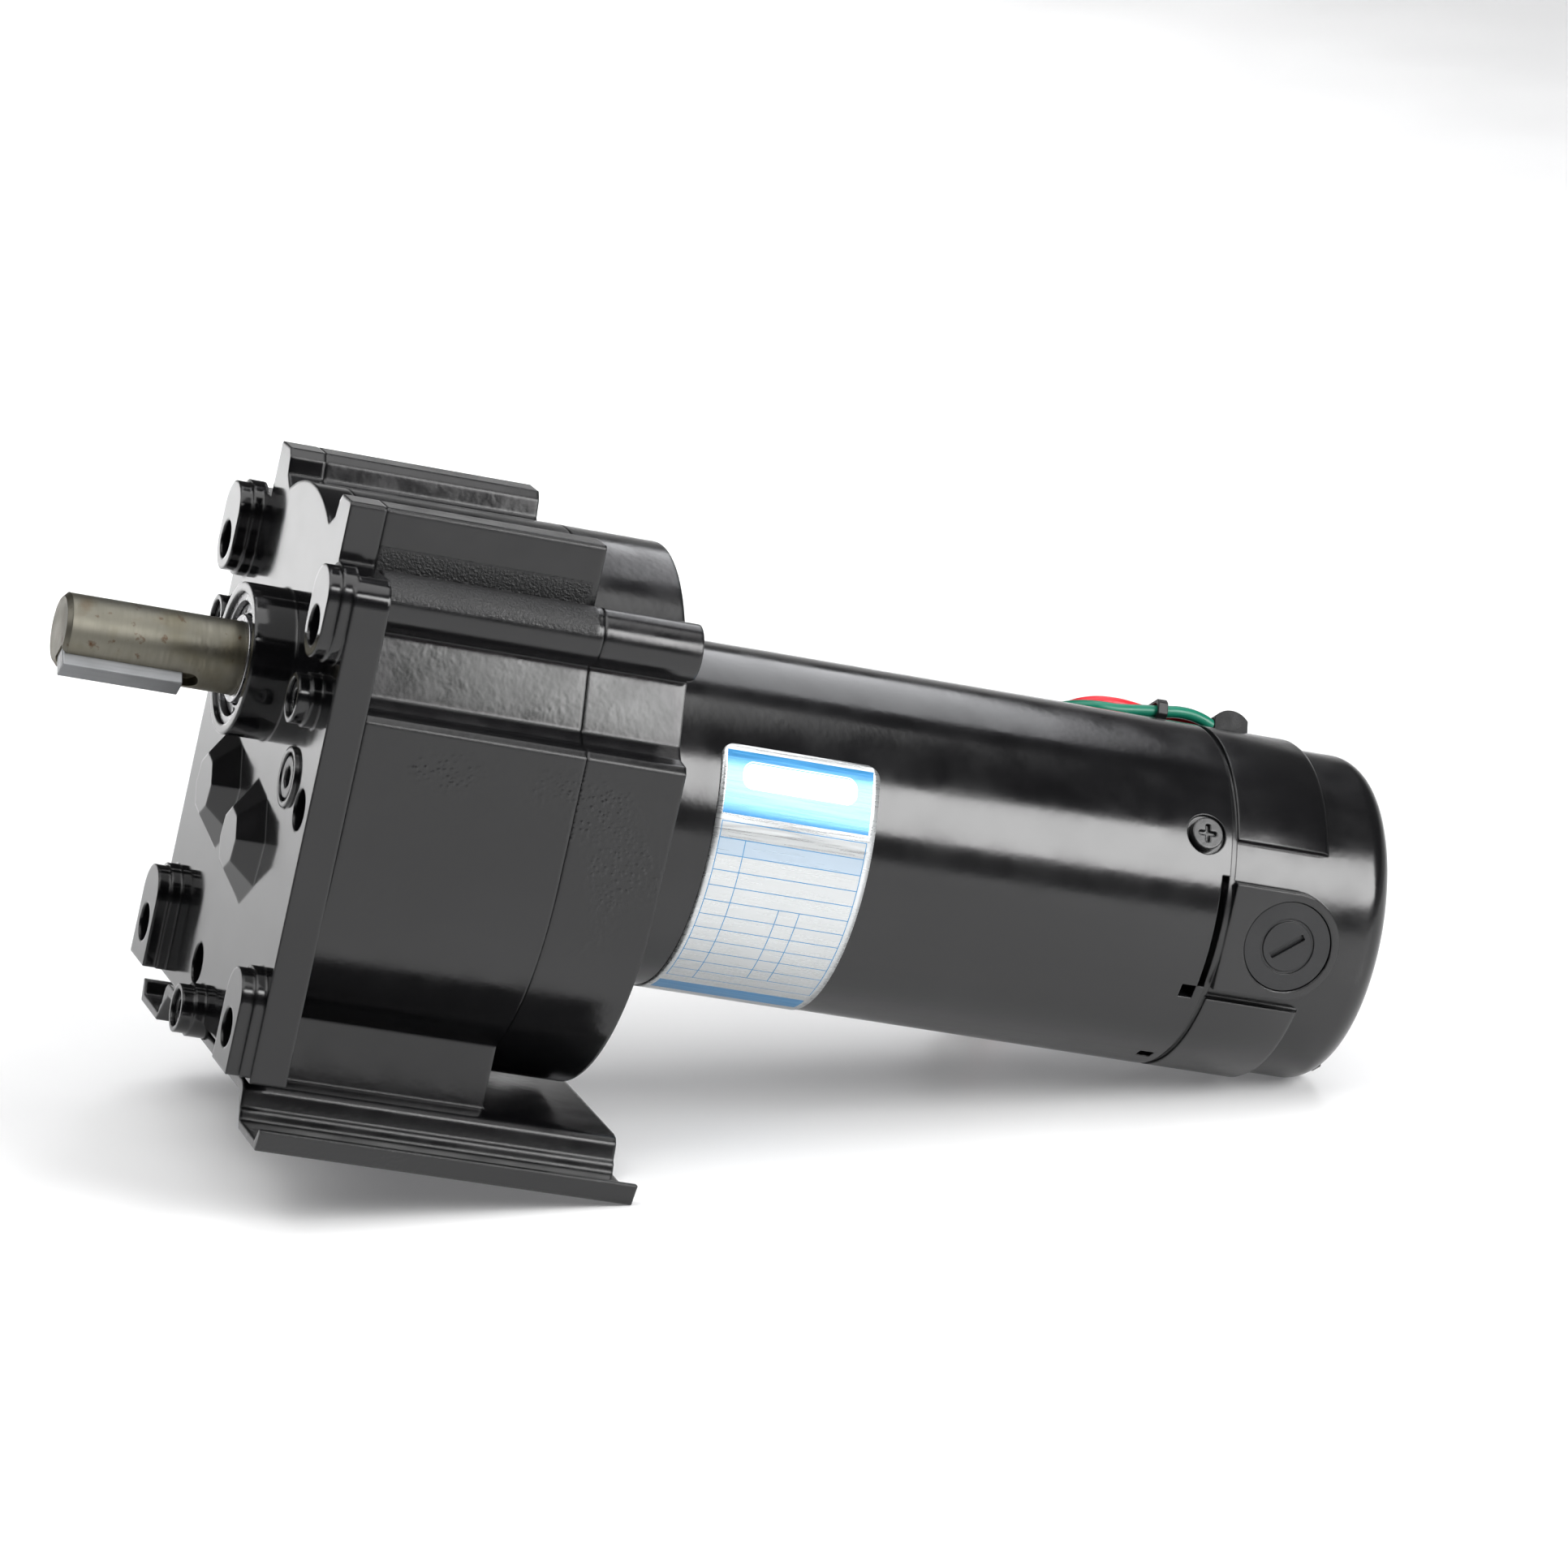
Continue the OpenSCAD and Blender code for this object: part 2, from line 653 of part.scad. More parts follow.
module output_key() {
    low = shaft_r - key_w / 2;
    color("#b9babc") translate([0, 0, output_z]) rotate([key_angle - 90, 0, 0])
        block([shaft_end_x + 0.3, -key_w / 2, low], [shaft_end_x + key_len - 0.5, key_w / 2, low + key_w]);
}

module output_gear() {
    color("#9a9b9d") difference() {
        wheel(gear3_x, output_spot, 2, turn_output, shaft_r, 12.5, 24.5, 6);
        block([gear3_x[0] - 1, -2, output_z], [gear3_x[1] + 1, 2, output_z + shaft_r + 2]);
    }
}

module output_gear_key() {
    color("#b9babc")
        block([gear3_x[0] + 1, -2, output_z + shaft_r - 2], [gear3_x[1] - 1, 2, output_z + shaft_r + 2]);
}

module output_snap_rings() {
    color("#5a5b5d") for (x = snap_ring_x) difference() {
        ring([x, x + 1.2], shaft_r + 1.8, shaft_r - 0.7, output_spot);
        block([x - 1, -2, output_z - shaft_r - 4], [x + 2, 2, output_z]);
    }
}

// Shaft with a pinion cut on it and a journal at each end
module pinion_shaft(spot, i, span, turn) {
    union() {
        rod([journal_front[0], journal_front[1] + 0.6], journal_r, spot);
        rod([journal_front[1] + 0.6 - eps, journal_rear[0] - 0.6], pin_r, spot);
        rod([journal_rear[0] - 0.6 - eps, journal_rear[1] - 0.3], journal_r, spot);
        gear_blank(span, spot, modules[i], pinion_teeth[i], profile_shift, turn);
    }
}

module shaft_bushes(spot) {
    for (span = [journal_front, journal_rear]) ring(span, bush_r, journal_r + running_gap, spot);
}

module second_gear() {
    color("#9a9b9d") wheel(gear2_x, second_spot, 1, turn_second, pin_r, 8, 19.5, 6);
}

module second_gear_shaft() {
    color("#a8a9ab") pinion_shaft(second_spot, 2, pinion3_x, turn_second);
}

module second_shaft_bushes() {
    color("#b08d57") shaft_bushes(second_spot);
}

module first_gear() {
    color("#9a9b9d") wheel(gear1_x, first_spot, 0, turn_first, pin_r, 7.5, 13.6, 5);
}

module first_gear_shaft() {
    color("#a8a9ab") pinion_shaft(first_spot, 1, pinion2_x, turn_first);
}

module first_shaft_bushes() {
    color("#b08d57") shaft_bushes(first_spot);
}

// ---- Motor: turning parts ----

module motor_pinion() {
    color("#a8a9ab") difference() {
        gear_blank(pinion1_x, motor_spot, modules[0], pinion_teeth[0], profile_shift, turn_motor);
        rod([pinion1_x[0] - 1, pinion1_x[1] + 1], 2, motor_spot);
    }
}

module armature_shaft() {
    color("#b0b1b3") {
        rod([pinion1_x[0], pinion1_x[1] + 1], 2, motor_spot);
        rod([pinion1_x[1] + 1 - eps, core_x[0] - 12], motor_journal_r, motor_spot);
        rod([core_x[0] - 12 - eps, commutator_x[1]], 6, motor_spot);
        rod([commutator_x[1] - eps, motor_rear_bearing_x[1]], motor_journal_r, motor_spot);
    }
}

module armature_core() {
    color("#6d7075") difference() {
        rod(core_x, core_r, motor_spot);
        rod([core_x[0] - 1, core_x[1] + 1], 6, motor_spot);
        for (k = [0 : slots - 1]) translate([0, 0, motor_z]) rotate([k * 360 / slots, 0, 0]) {
            rod([core_x[0] - 1, core_x[1] + 1], 2.2, [0, 22.5]);
            block([core_x[0] - 1, -0.7, 22.5], [core_x[1] + 1, 0.7, core_r + 1]);
        }
    }
}

// Coil sides in the slots and the rounded end turns
module armature_windings() {
    color("#a5552a") {
        for (k = [0 : slots - 1])
            rod([core_x[0] - 2, core_x[1] + 2], 2.1, motor_spot + polar(22.5, 90 + k * 360 / slots));
        for (end = [[core_x[0] - 1, -1], [core_x[1] + 1, 1]])
            translate([end[0] + end[1] * 5, 0, motor_z]) rotate([0, 90, 0]) rotate_extrude() {
                translate([8, -5]) square([12, 10]);
                translate([20, 0]) circle(5);
            }
    }
}

module commutator() {
    color("#b87333") difference() {
        rod(commutator_x, commutator_r, motor_spot);
        rod([commutator_x[0] - 1, commutator_x[1] + 1], 6, motor_spot);
        for (k = [0 : slots - 1]) translate([0, 0, motor_z]) rotate([(k + 0.5) * 360 / slots, 0, 0])
            block([commutator_x[0] - 1, -0.3, commutator_r - 1.2],
                [commutator_x[1] + 1, 0.3, commutator_r + 1]);
    }
}

module motor_bearing_outer(span) {
    color("#c9cacc") race(span, motor_spot, motor_bearing_r, 8.8, motor_track_r, motor_ball_r + 0.1);
}

module motor_bearing_inner(span) {
    color("#c9cacc") race(span, motor_spot, 6.2, motor_journal_r, motor_track_r, motor_ball_r + 0.1);
}

module motor_bearing_balls(span) {
    color("#e2e3e5") balls(span, motor_spot, motor_track_r, motor_ball_r, motor_balls);
}

// ---- Motor: fixed parts ----

module motor_tube() {
    notch_angles = [201, 238];
    color("#202124") difference() {
        rod([adapter_rear_x, tube_rear_x], tube_r, motor_spot);
        rod([adapter_rear_x - 1, tube_rear_x + 1], tube_in_r, motor_spot);
        for (a = notch_angles) translate([0, 0, motor_z]) rotate([a - 90, 0, 0])
            block([tube_rear_x - 5.2, -1.6, tube_r - 6], [tube_rear_x - 2, 1.6, tube_r + 2]);
        both_sides()
            block([tube_rear_x - 1.8, -tube_r - 1, motor_z - 12], [tube_rear_x + 1, -20, motor_z + 13]);
        for (s = [-1, 1]) cap_screw_axis(s) {
            cylinder(h = tube_r + 1, r = 2.1);
            translate([0, 0, tube_r - 1.2]) cylinder(h = 4, r = 4.5);
        }
    }
}

// Radial axis of the two screws that hold the end cap in the tube
module cap_screw_axis(side) {
    turn = 90 - cap_screw_angle + (side > 0 ? 0 : 180);
    translate([cap_screw_x, 0, motor_z]) rotate([turn, 0, 0]) children();
}

module magnets() {
    color("#4b4c50") for (a = [-magnet_half_angle, 180 - magnet_half_angle])
        translate([magnet_x[0], 0, motor_z]) rotate([0, 90, 0]) rotate([0, 0, 90]) rotate([0, 0, a])
            rotate_extrude(angle = 2 * magnet_half_angle)
                translate([magnet_in_r, 0])
                    square([tube_in_r - press_gap - magnet_in_r, magnet_x[1] - magnet_x[0]]);
}

// Turned outside of the end cap, drawn as radius across and X up
module cap_body() {
    edge = 6;
    inside_r = 32.6;
    translate([0, 0, motor_z]) rotate([0, 90, 0]) rotate_extrude() difference() {
        union() {
            translate([0, tube_rear_x]) square([cap_r, cap_rear_x - edge - tube_rear_x]);
            translate([0, tube_rear_x]) square([cap_r - edge, cap_rear_x - tube_rear_x]);
            translate([cap_r - edge, cap_rear_x - edge]) circle(edge);
            translate([0, tube_rear_x]) square([tube_r - 0.8, 1.5]);
            translate([0, tube_rear_x - 9]) square([tube_in_r - 0.1, 10]);
        }
        translate([0, tube_rear_x - 10]) square([inside_r - 4, 46]);
        translate([0, tube_rear_x + 10]) square([inside_r, 23]);
    }
}

// Raised panel of the end cap over an arc of angles, 0 towards +Y
module cap_panel(from_angle, to_angle) {
    translate([0, 0, motor_z]) rotate([90, 0, 90]) rotate([0, 0, from_angle])
        rotate_extrude(angle = to_angle - from_angle)
            polygon([
                [cap_r - 2, tube_rear_x + 1.4], [tube_r, tube_rear_x + 1.4], [tube_r, panel_end_x - 1.6],
                [tube_r - 0.5, panel_end_x - 0.5], [tube_r - 1.4, panel_end_x], [cap_r - 2, panel_end_x]
            ]);
}

module brush_pad() {
    low_y = 29;
    translate([0, -low_y, motor_z]) rotate([90, 0, 0]) linear_extrude(pad_y - low_y) {
        translate([tube_rear_x + 1.5, -pad_r]) square([brush_x - tube_rear_x - 1.5, 2 * pad_r]);
        disc([brush_x, 0], pad_r);
    }
}

// An axis across the motor through the brushes, pointing to -Y (side 1) or +Y (side -1)
module brush_axis(side) {
    translate([brush_x, 0, motor_z]) rotate([side * 90, 0, 0]) children();
}

module rear_end_cap() {
    color("#1d1e20") difference() {
        union() {
            cap_body();
            cap_panel(33, 147);
            cap_panel(203, 337);
            both_sides() brush_pad();
            ring([motor_rear_bearing_x[0] - 0.5, cap_rear_x - 2], 14, 8, motor_spot);
        }
        rod([motor_rear_bearing_x[0] - 1, motor_rear_bearing_x[1]], motor_bearing_r + press_gap, motor_spot);
        rod([motor_rear_bearing_x[1] - 1, motor_rear_bearing_x[1] + 1.2], 6, motor_spot);
        for (side = [-1, 1]) brush_axis(side) {
            translate([0, 0, pad_y - 4]) cylinder(h = 6, r = brush_cap_r + 0.15);
            cylinder(h = pad_y, r = 6.5 + press_gap);
        }
        for (s = [-1, 1]) cap_screw_axis(s) cylinder(h = 40, r = 1.72);
        for (a = [bolt_angle, bolt_angle + 180]) {
            rod([tube_rear_x - 20, cap_rear_x + 1], 2.3, motor_spot + polar(bolt_radius, a));
            rod([cap_rear_x - bolt_sink, cap_rear_x + 1], 4.4, motor_spot + polar(bolt_radius, a));
        }
        at_exit() translate([bush_x, 0, 20]) cylinder(h = 30, r = 4.5);
    }
}

// Pan-head screws with a cross recess
module end_cap_screws() {
    color("#2c2d30") for (s = [-1, 1]) cap_screw_axis(s) difference() {
        union() {
            translate([0, 0, 30]) cylinder(h = tube_r - 31.2 + eps, r = 1.7);
            translate([0, 0, tube_r - 1.2]) cylinder(h = 2, r = 3.6);
        }
        for (t = [0, 90]) rotate([0, 0, t]) block([-2, -0.45, tube_r - 0.2], [2, 0.45, tube_r + 2]);
    }
}

// Long bolts from the end cap to the adapter, with slotted hexagon heads
module through_bolts() {
    color("#2c2d30") for (a = [bolt_angle, bolt_angle + 180]) {
        spot = motor_spot + polar(bolt_radius, a);
        rod([adapter_rear_x - 3.5, cap_rear_x - bolt_sink], 2.18, spot);
        difference() {
            translate([cap_rear_x - bolt_sink - eps, spot[0], spot[1]]) rotate([0, 90, 0])
                cylinder(h = bolt_sink + 0.4, r = 4.1, $fn = 6);
            block([cap_rear_x - 0.6, spot[0] - 5, spot[1] - 0.6],
                [cap_rear_x + 1, spot[0] + 5, spot[1] + 0.6]);
        }
    }
}

brush_half = [3.2, 4];
brush_out_y = 26;

module brush_holders() {
    color("#c2a14d") for (side = [-1, 1]) brush_axis(side) difference() {
        translate([0, 0, 16]) cylinder(h = pad_y - 4 - 16, r = 6.5);
        block([-brush_half[0] - 0.1, -brush_half[1] - 0.1, 15],
            [brush_half[0] + 0.1, brush_half[1] + 0.1, pad_y]);
    }
}

module carbon_brushes() {
    color("#2a2a2c") for (side = [-1, 1]) brush_axis(side) difference() {
        block([-brush_half[0], -brush_half[1], 10], [brush_half[0], brush_half[1], brush_out_y]);
        rotate([side * -90, 0, 0]) rod([-10, 10], commutator_r + 0.05);
    }
}

// Coil springs drawn as a stack of closed turns
module brush_springs() {
    turns = 6;
    pitch = (pad_y - 4 - brush_out_y) / turns;
    color("#c9cacc") for (side = [-1, 1], k = [0 : turns - 1]) brush_axis(side)
        translate([0, 0, brush_out_y + (k + 0.5) * pitch])
            rotate_extrude() translate([2.5, 0]) circle(pitch * 0.45);
}

module brush_caps() {
    color("#313335") for (side = [-1, 1]) brush_axis(side) difference() {
        translate([0, 0, pad_y - 4]) cylinder(h = 3.7, r = brush_cap_r);
        translate([0, 0, pad_y - 0.7]) difference() {
            cylinder(h = 1, r = 6.2);
            translate([0, 0, -1]) cylinder(h = 3, r = 5.6);
        }
        rotate([0, 0, side * 38]) block([-4.2, -0.7, pad_y - 1.3], [4.2, 0.7, pad_y + 1]);
    }
}

module nameplate() {
    color("#d5dde3") translate([0, 0, motor_z]) rotate([90, 0, 90]) rotate([0, 0, plate_angles[0]])
        rotate_extrude(angle = plate_angles[1] - plate_angles[0])
            translate([tube_r + press_gap, plate_x[0]]) square([plate_t, plate_x[1] - plate_x[0]]);
}

// ---- Leads ----

// The radial line that the leads leave on: +Z outward, X unchanged
module at_exit() {
    translate([0, 0, motor_z]) rotate([lead_exit_angle - 90, 0, 0]) children();
}

// Rubber bush that the leads come out of: a plug in the hole and a hood with a flat mouth
module lead_grommet() {
    hood_r = 5;
    hood_w = 9.4;
    mouth = bush_x - red_on_tube[0][0];
    color("#151516") at_exit() {
        translate([bush_x, 0, 33]) cylinder(h = tube_r + 0.6 - 33, r = 4.4);
        intersection() {
            translate([bush_x - mouth, -hood_w / 2, tube_r + 0.15]) cube([2 * mouth, hood_w, hood_r]);
            translate([bush_x, 0, tube_r + 0.15]) rotate([90, 0, 0])
                cylinder(h = hood_w, r = hood_r, center = true);
        }
    }
}

// Places of route points on the tube and on the surface below
function on_tube(p) =
    let (r = tube_r + p[2] + 0.05, t = lead_exit_angle - p[1] / tube_r * 180 / PI)
    [p[0], r * cos(t), motor_z + r * sin(t)];
function below(p) = [p[0], p[1], rest_height(p[0]) + p[2]];
function lead_route(upper, lower) = concat([for (p = upper) on_tube(p)], [for (p = lower) below(p)]);

// Unit direction of a route at point i
function heading(route, i) =
    let (a = route[max(i - 1, 0)], b = route[min(i + 1, len(route) - 1)]) (b - a) / norm(b - a);

// Ring of points round a route point, with its first point towards +Y on level stretches
function ring_points(route, i, r, sides) =
    let (t = heading(route, i),
         side_raw = cross(t, [0.1, 0.4, 1]),
         side = side_raw / norm(side_raw),
         up = cross(side, t))
    [for (k = [0 : sides - 1]) route[i] + r * (cos(k * 360 / sides) * side + sin(k * 360 / sides) * up)];

module swept(route, r, sides = 8) {
    n = len(route);
    points = [for (i = [0 : n - 1], p = ring_points(route, i, r, sides)) p];
    walls = [for (i = [0 : n - 2], k = [0 : sides - 1])
        let (a = i * sides + k, b = i * sides + (k + 1) % sides) [a, b, b + sides, a + sides]];
    polyhedron(points, concat([[for (k = [sides - 1 : -1 : 0]) k]], walls,
        [[for (k = [0 : sides - 1]) (n - 1) * sides + k]]));
}

module lead_red_wire() {
    color("#d2303c") swept(lead_route(red_on_tube, red_below), lead_r);
}

module lead_green_wire() {
    color("#0d7a5f") swept(lead_route(green_on_tube, green_below), lead_r);
}

module lead_black_wire() {
    color("#1a1a1b") swept(lead_route(black_on_tube, black_below), lead_r);
}

// Flat tie round the three leads
module tie_outline(half_w, half_h) {
    corner = 1;
    polygon([
        [-half_w, -half_h + corner], [-half_w + corner, -half_h],
        [half_w - corner, -half_h], [half_w, -half_h + corner],
        [half_w, half_h - corner], [half_w - corner, half_h],
        [-half_w + corner, half_h], [-half_w, half_h - corner]
    ]);
}

module lead_tie() {
    width = 2.4;
    color("#222223") at_exit() translate([tie_x - width / 2, 0, tube_r + 2.65]) rotate([90, 0, 90])
        linear_extrude(width) difference() {
            tie_outline(5.7, 2.3);
            tie_outline(4.9, 1.5);
        }
}

// ---- Assembly ----

gear_housing();
output_cover();
motor_adapter();
cover_screws();
vent_plug();
dowel_pins();
front_bearing_outer();
front_bearing_inner();
front_bearing_cage();
front_bearing_balls();
output_oil_seal();
output_rear_bush();
output_shaft();
output_key();
output_gear();
output_gear_key();
output_snap_rings();
second_gear();
second_gear_shaft();
second_shaft_bushes();
first_gear();
first_gear_shaft();
first_shaft_bushes();
motor_pinion();
armature_shaft();
armature_core();
armature_windings();
commutator();
motor_bearing_outer(motor_front_bearing_x);  // motor_front_bearing_outer
motor_bearing_inner(motor_front_bearing_x);  // motor_front_bearing_inner
motor_bearing_balls(motor_front_bearing_x);  // motor_front_bearing_balls
motor_bearing_outer(motor_rear_bearing_x);  // motor_rear_bearing_outer
motor_bearing_inner(motor_rear_bearing_x);  // motor_rear_bearing_inner
motor_bearing_balls(motor_rear_bearing_x);  // motor_rear_bearing_balls
motor_tube();
magnets();
rear_end_cap();
end_cap_screws();
through_bolts();
brush_holders();
carbon_brushes();
brush_springs();
brush_caps();
nameplate();
lead_grommet();
lead_red_wire();
lead_green_wire();
lead_black_wire();
lead_tie();
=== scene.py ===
"""Looks of a parallel-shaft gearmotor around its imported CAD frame, in metres."""
import json
import math

import bmesh
import bpy
from mathutils import Matrix, Vector


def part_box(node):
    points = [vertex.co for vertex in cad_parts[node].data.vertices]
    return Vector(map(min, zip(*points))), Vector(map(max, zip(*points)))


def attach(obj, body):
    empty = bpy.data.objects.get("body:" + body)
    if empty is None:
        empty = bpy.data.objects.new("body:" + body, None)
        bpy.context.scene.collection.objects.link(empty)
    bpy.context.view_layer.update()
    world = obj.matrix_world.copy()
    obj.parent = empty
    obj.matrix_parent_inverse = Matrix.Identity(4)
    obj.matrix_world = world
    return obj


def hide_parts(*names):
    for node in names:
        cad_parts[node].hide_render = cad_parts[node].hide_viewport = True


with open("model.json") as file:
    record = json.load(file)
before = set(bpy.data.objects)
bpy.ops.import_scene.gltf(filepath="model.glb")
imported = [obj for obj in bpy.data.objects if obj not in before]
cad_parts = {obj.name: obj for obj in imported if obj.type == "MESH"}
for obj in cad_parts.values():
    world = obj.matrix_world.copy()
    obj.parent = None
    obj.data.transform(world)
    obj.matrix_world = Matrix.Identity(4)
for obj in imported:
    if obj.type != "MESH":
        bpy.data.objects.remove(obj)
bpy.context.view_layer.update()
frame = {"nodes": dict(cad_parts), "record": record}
scene = bpy.context.scene

MM = 0.001

# ---- Sizes read from the frame ----

tube_low, tube_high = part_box("motor_tube")
tube_r = (tube_high.y - tube_low.y) / 2
motor_z = (tube_high.z + tube_low.z) / 2
feet_rear_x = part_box("gear_housing")[1].x
plate_low, plate_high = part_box("nameplate")

# The gearmotor rests tipped back, on the rear edge of its feet and the rear edge of the end cap
TIP = math.radians(13.2)
UP = Vector((-math.sin(TIP), 0, math.cos(TIP)))


def floor_z(x):
    """Height of the surface under the tipped gearmotor at a station."""
    return (x - feet_rear_x) * math.tan(TIP)


# ---- Camera ----

CAMERA_PLACE = Vector((-0.4969, -1.4974, 0.3682))
CAMERA_AIM = Vector((0.0195, 0.0100, 0.0814))
SENSOR = 36
LENS = 169.57


def facing(place, aim, up):
    """World matrix of a camera or light at place that looks at aim."""
    look = (aim - place).normalized()
    right = look.cross(up).normalized()
    top = right.cross(look)
    turn = Matrix((right, top, -look)).transposed().to_4x4()
    return Matrix.Translation(place) @ turn


camera_data = bpy.data.cameras.new("camera")
camera_data.lens = LENS
camera_data.sensor_width = SENSOR
camera_data.clip_start = 0.05
camera_data.clip_end = 60
camera = bpy.data.objects.new("camera", camera_data)
camera.matrix_world = facing(CAMERA_PLACE, CAMERA_AIM, UP)
scene.collection.objects.link(camera)
scene.camera = camera


# ---- Node helpers ----

RANGE_SOCKETS = ("From Min", "From Max", "To Min", "To Max")


class Look:
    """A procedural material built round one Principled shader, with its pattern in object coordinates."""

    def __init__(self, name, color, roughness, metallic=0.0, **sockets):
        self.material = bpy.data.materials.new(name)
        self.material.use_nodes = True
        self.tree = self.material.node_tree
        self.shader = self.tree.nodes["Principled BSDF"]
        self.color = (*color, 1)
        self.shader.inputs["Base Color"].default_value = self.color
        self.shader.inputs["Roughness"].default_value = roughness
        self.shader.inputs["Metallic"].default_value = metallic
        for socket, value in sockets.items():
            self.shader.inputs[socket.replace("_", " ")].default_value = value
        self.place = self.add("ShaderNodeTexCoord").outputs["Object"]

    def add(self, kind, **settings):
        node = self.tree.nodes.new(kind)
        for key, value in settings.items():
            setattr(node, key, value)
        return node

    def feed(self, node, socket, value):
        """Links an output to a socket, or sets the socket to a plain value."""
        if isinstance(value, bpy.types.NodeSocket):
            self.tree.links.new(value, node.inputs[socket])
        else:
            node.inputs[socket].default_value = value

    def stretched(self, scale):
        """Object coordinates stretched by a different scale on each axis."""
        node = self.add("ShaderNodeVectorMath", operation="MULTIPLY")
        self.feed(node, 0, self.place)
        self.feed(node, 1, scale)
        return node.outputs[0]

    def noise(self, size, detail=2.0, place=None):
        """Noise from about 0.3 to 0.7 with features of that size in metres."""
        node = self.add("ShaderNodeTexNoise")
        self.feed(node, "Vector", place or self.place)
        self.feed(node, "Scale", 1 / size)
        self.feed(node, "Detail", detail)
        return node.outputs["Fac"]

    def cells(self, size):
        node = self.add("ShaderNodeTexVoronoi")
        self.feed(node, "Vector", self.place)
        self.feed(node, "Scale", 1 / size)
        return node.outputs["Distance"]

    def remap(self, value, low, high, to_low, to_high):
        node = self.add("ShaderNodeMapRange", clamp=True)
        self.feed(node, "Value", value)
        for socket, limit in zip(RANGE_SOCKETS, (low, high, to_low, to_high)):
            self.feed(node, socket, limit)
        return node.outputs[0]

    def maths(self, operation, a, b=0.0):
        node = self.add("ShaderNodeMath", operation=operation)
        self.feed(node, 0, a)
        self.feed(node, 1, b)
        return node.outputs[0]

    def part(self, axis):
        """One coordinate of the place, "X", "Y" or "Z"."""
        node = self.add("ShaderNodeSeparateXYZ")
        self.feed(node, 0, self.place)
        return node.outputs[axis]

    def tint(self, amount, color):
        """Mixes another colour into the surface by amount, from 0 to 1."""
        node = self.add("ShaderNodeMix", data_type="RGBA")
        before = self.shader.inputs["Base Color"]
        self.feed(node, "Factor", amount)
        self.feed(node, 6, before.links[0].from_socket if before.links else self.color)
        self.feed(node, 7, (*color, 1))
        self.tree.links.new(node.outputs[2], before)

    def rough(self, value, low, high):
        """Roughness that runs from low to high as value runs from 0.35 to 0.65."""
        self.tree.links.new(self.remap(value, 0.35, 0.65, low, high), self.shader.inputs["Roughness"])

    def rounding(self, radius):
        """Makes every edge of the surface shade as if it were rounded to that radius."""
        node = self.add("ShaderNodeBevel", samples=6)
        self.feed(node, "Radius", radius)
        self.tree.links.new(node.outputs[0], self.shader.inputs["Normal"])

    def bump(self, height, depth, strength=1.0):
        """Adds relief of that depth in metres over the relief already there."""
        node = self.add("ShaderNodeBump")
        self.feed(node, "Strength", strength)
        self.feed(node, "Distance", depth)
        self.feed(node, "Height", height)
        before = self.shader.inputs["Normal"]
        if before.links:
            self.tree.links.new(before.links[0].from_socket, node.inputs["Normal"])
        self.tree.links.new(node.outputs[0], before)


# ---- Materials ----

# Where the skin of the case changes: pairs of places between which it fades in
SIDE_FADE_Y = (48.5 * MM, 50.5 * MM)
PEBBLE_FADE_Z = (92 * MM, 84 * MM)
NECK_FADE_X = (-46 * MM, -47 * MM)
NECK_FOOT_FADE_Z = (116 * MM, 117 * MM)
NECK_TOP_FADE_Z = (125.5 * MM, 124.5 * MM)

# Printed panel of the nameplate's blue band: half sizes, corner radius, middle below the plate's top, outline
BAND_BLUE = (0.022, 0.215, 0.47)
PANEL_PALE = (0.60, 0.63, 0.65)
PANEL_HALF = (12.6 * MM, 2.3 * MM)
PANEL_CORNER = 2 * MM
PANEL_DOWN = 5.6 * MM
OUTLINE = (0.20 * MM, 0.40 * MM)


def enamel(name, peel, waviness, rough_low=0.16, rough_high=0.24, edge=0.4):
    """Black gloss enamel: orange peel, the uneven casting under it, dust and faint scuffs. edge is in millimetres."""
    look = Look(name, (0.0032, 0.0032, 0.0036), 0.2, IOR=1.5)
    look.rounding(edge * MM)
    look.rough(look.noise(9 * MM, 3), rough_low, rough_high)
    look.tint(look.remap(look.noise(30 * MM, 4), 0.5, 0.75, 0, 0.5), (0.007, 0.007, 0.0078))
    look.bump(look.noise(14 * MM, 1), waviness)
    look.bump(look.noise(1.6 * MM, 1), peel)
    return look


def cast_enamel(name):
    """Enamel over a die casting: faintly pebbled patches on the flat sides, rough skin on the neck's face."""
    look = enamel(name, 0.018 * MM, 0.05 * MM, 0.15, 0.24, 1.0)
    side = look.remap(look.maths("ABSOLUTE", look.part("Y")), *SIDE_FADE_Y, 0, 1)
    low = look.remap(look.part("Z"), *PEBBLE_FADE_Z, 0, 1)
    patch = look.remap(look.noise(26 * MM, 2), 0.50, 0.62, 0.08, 1)
    pebbles = look.remap(look.cells(1.1 * MM), 0.05, 0.6, 1, 0)
    look.bump(look.maths("MULTIPLY", look.maths("MULTIPLY", side, low),
                         look.maths("MULTIPLY", patch, pebbles)), 0.07 * MM)
    neck = look.maths("MULTIPLY", look.remap(look.part("X"), *NECK_FADE_X, 0, 1),
                      look.maths("MULTIPLY", look.remap(look.part("Z"), *NECK_FOOT_FADE_Z, 0, 1),
                                 look.remap(look.part("Z"), *NECK_TOP_FADE_Z, 0, 1)))
    look.bump(look.maths("MULTIPLY", neck, look.remap(look.noise(0.6 * MM, 3), 0.3, 0.7, 0, 1)), 0.11 * MM)
    gloss = look.shader.inputs["Roughness"].links[0].from_socket
    look.tree.links.new(look.maths("ADD", gloss, look.maths("MULTIPLY", neck, 0.3)), look.shader.inputs["Roughness"])
    return look


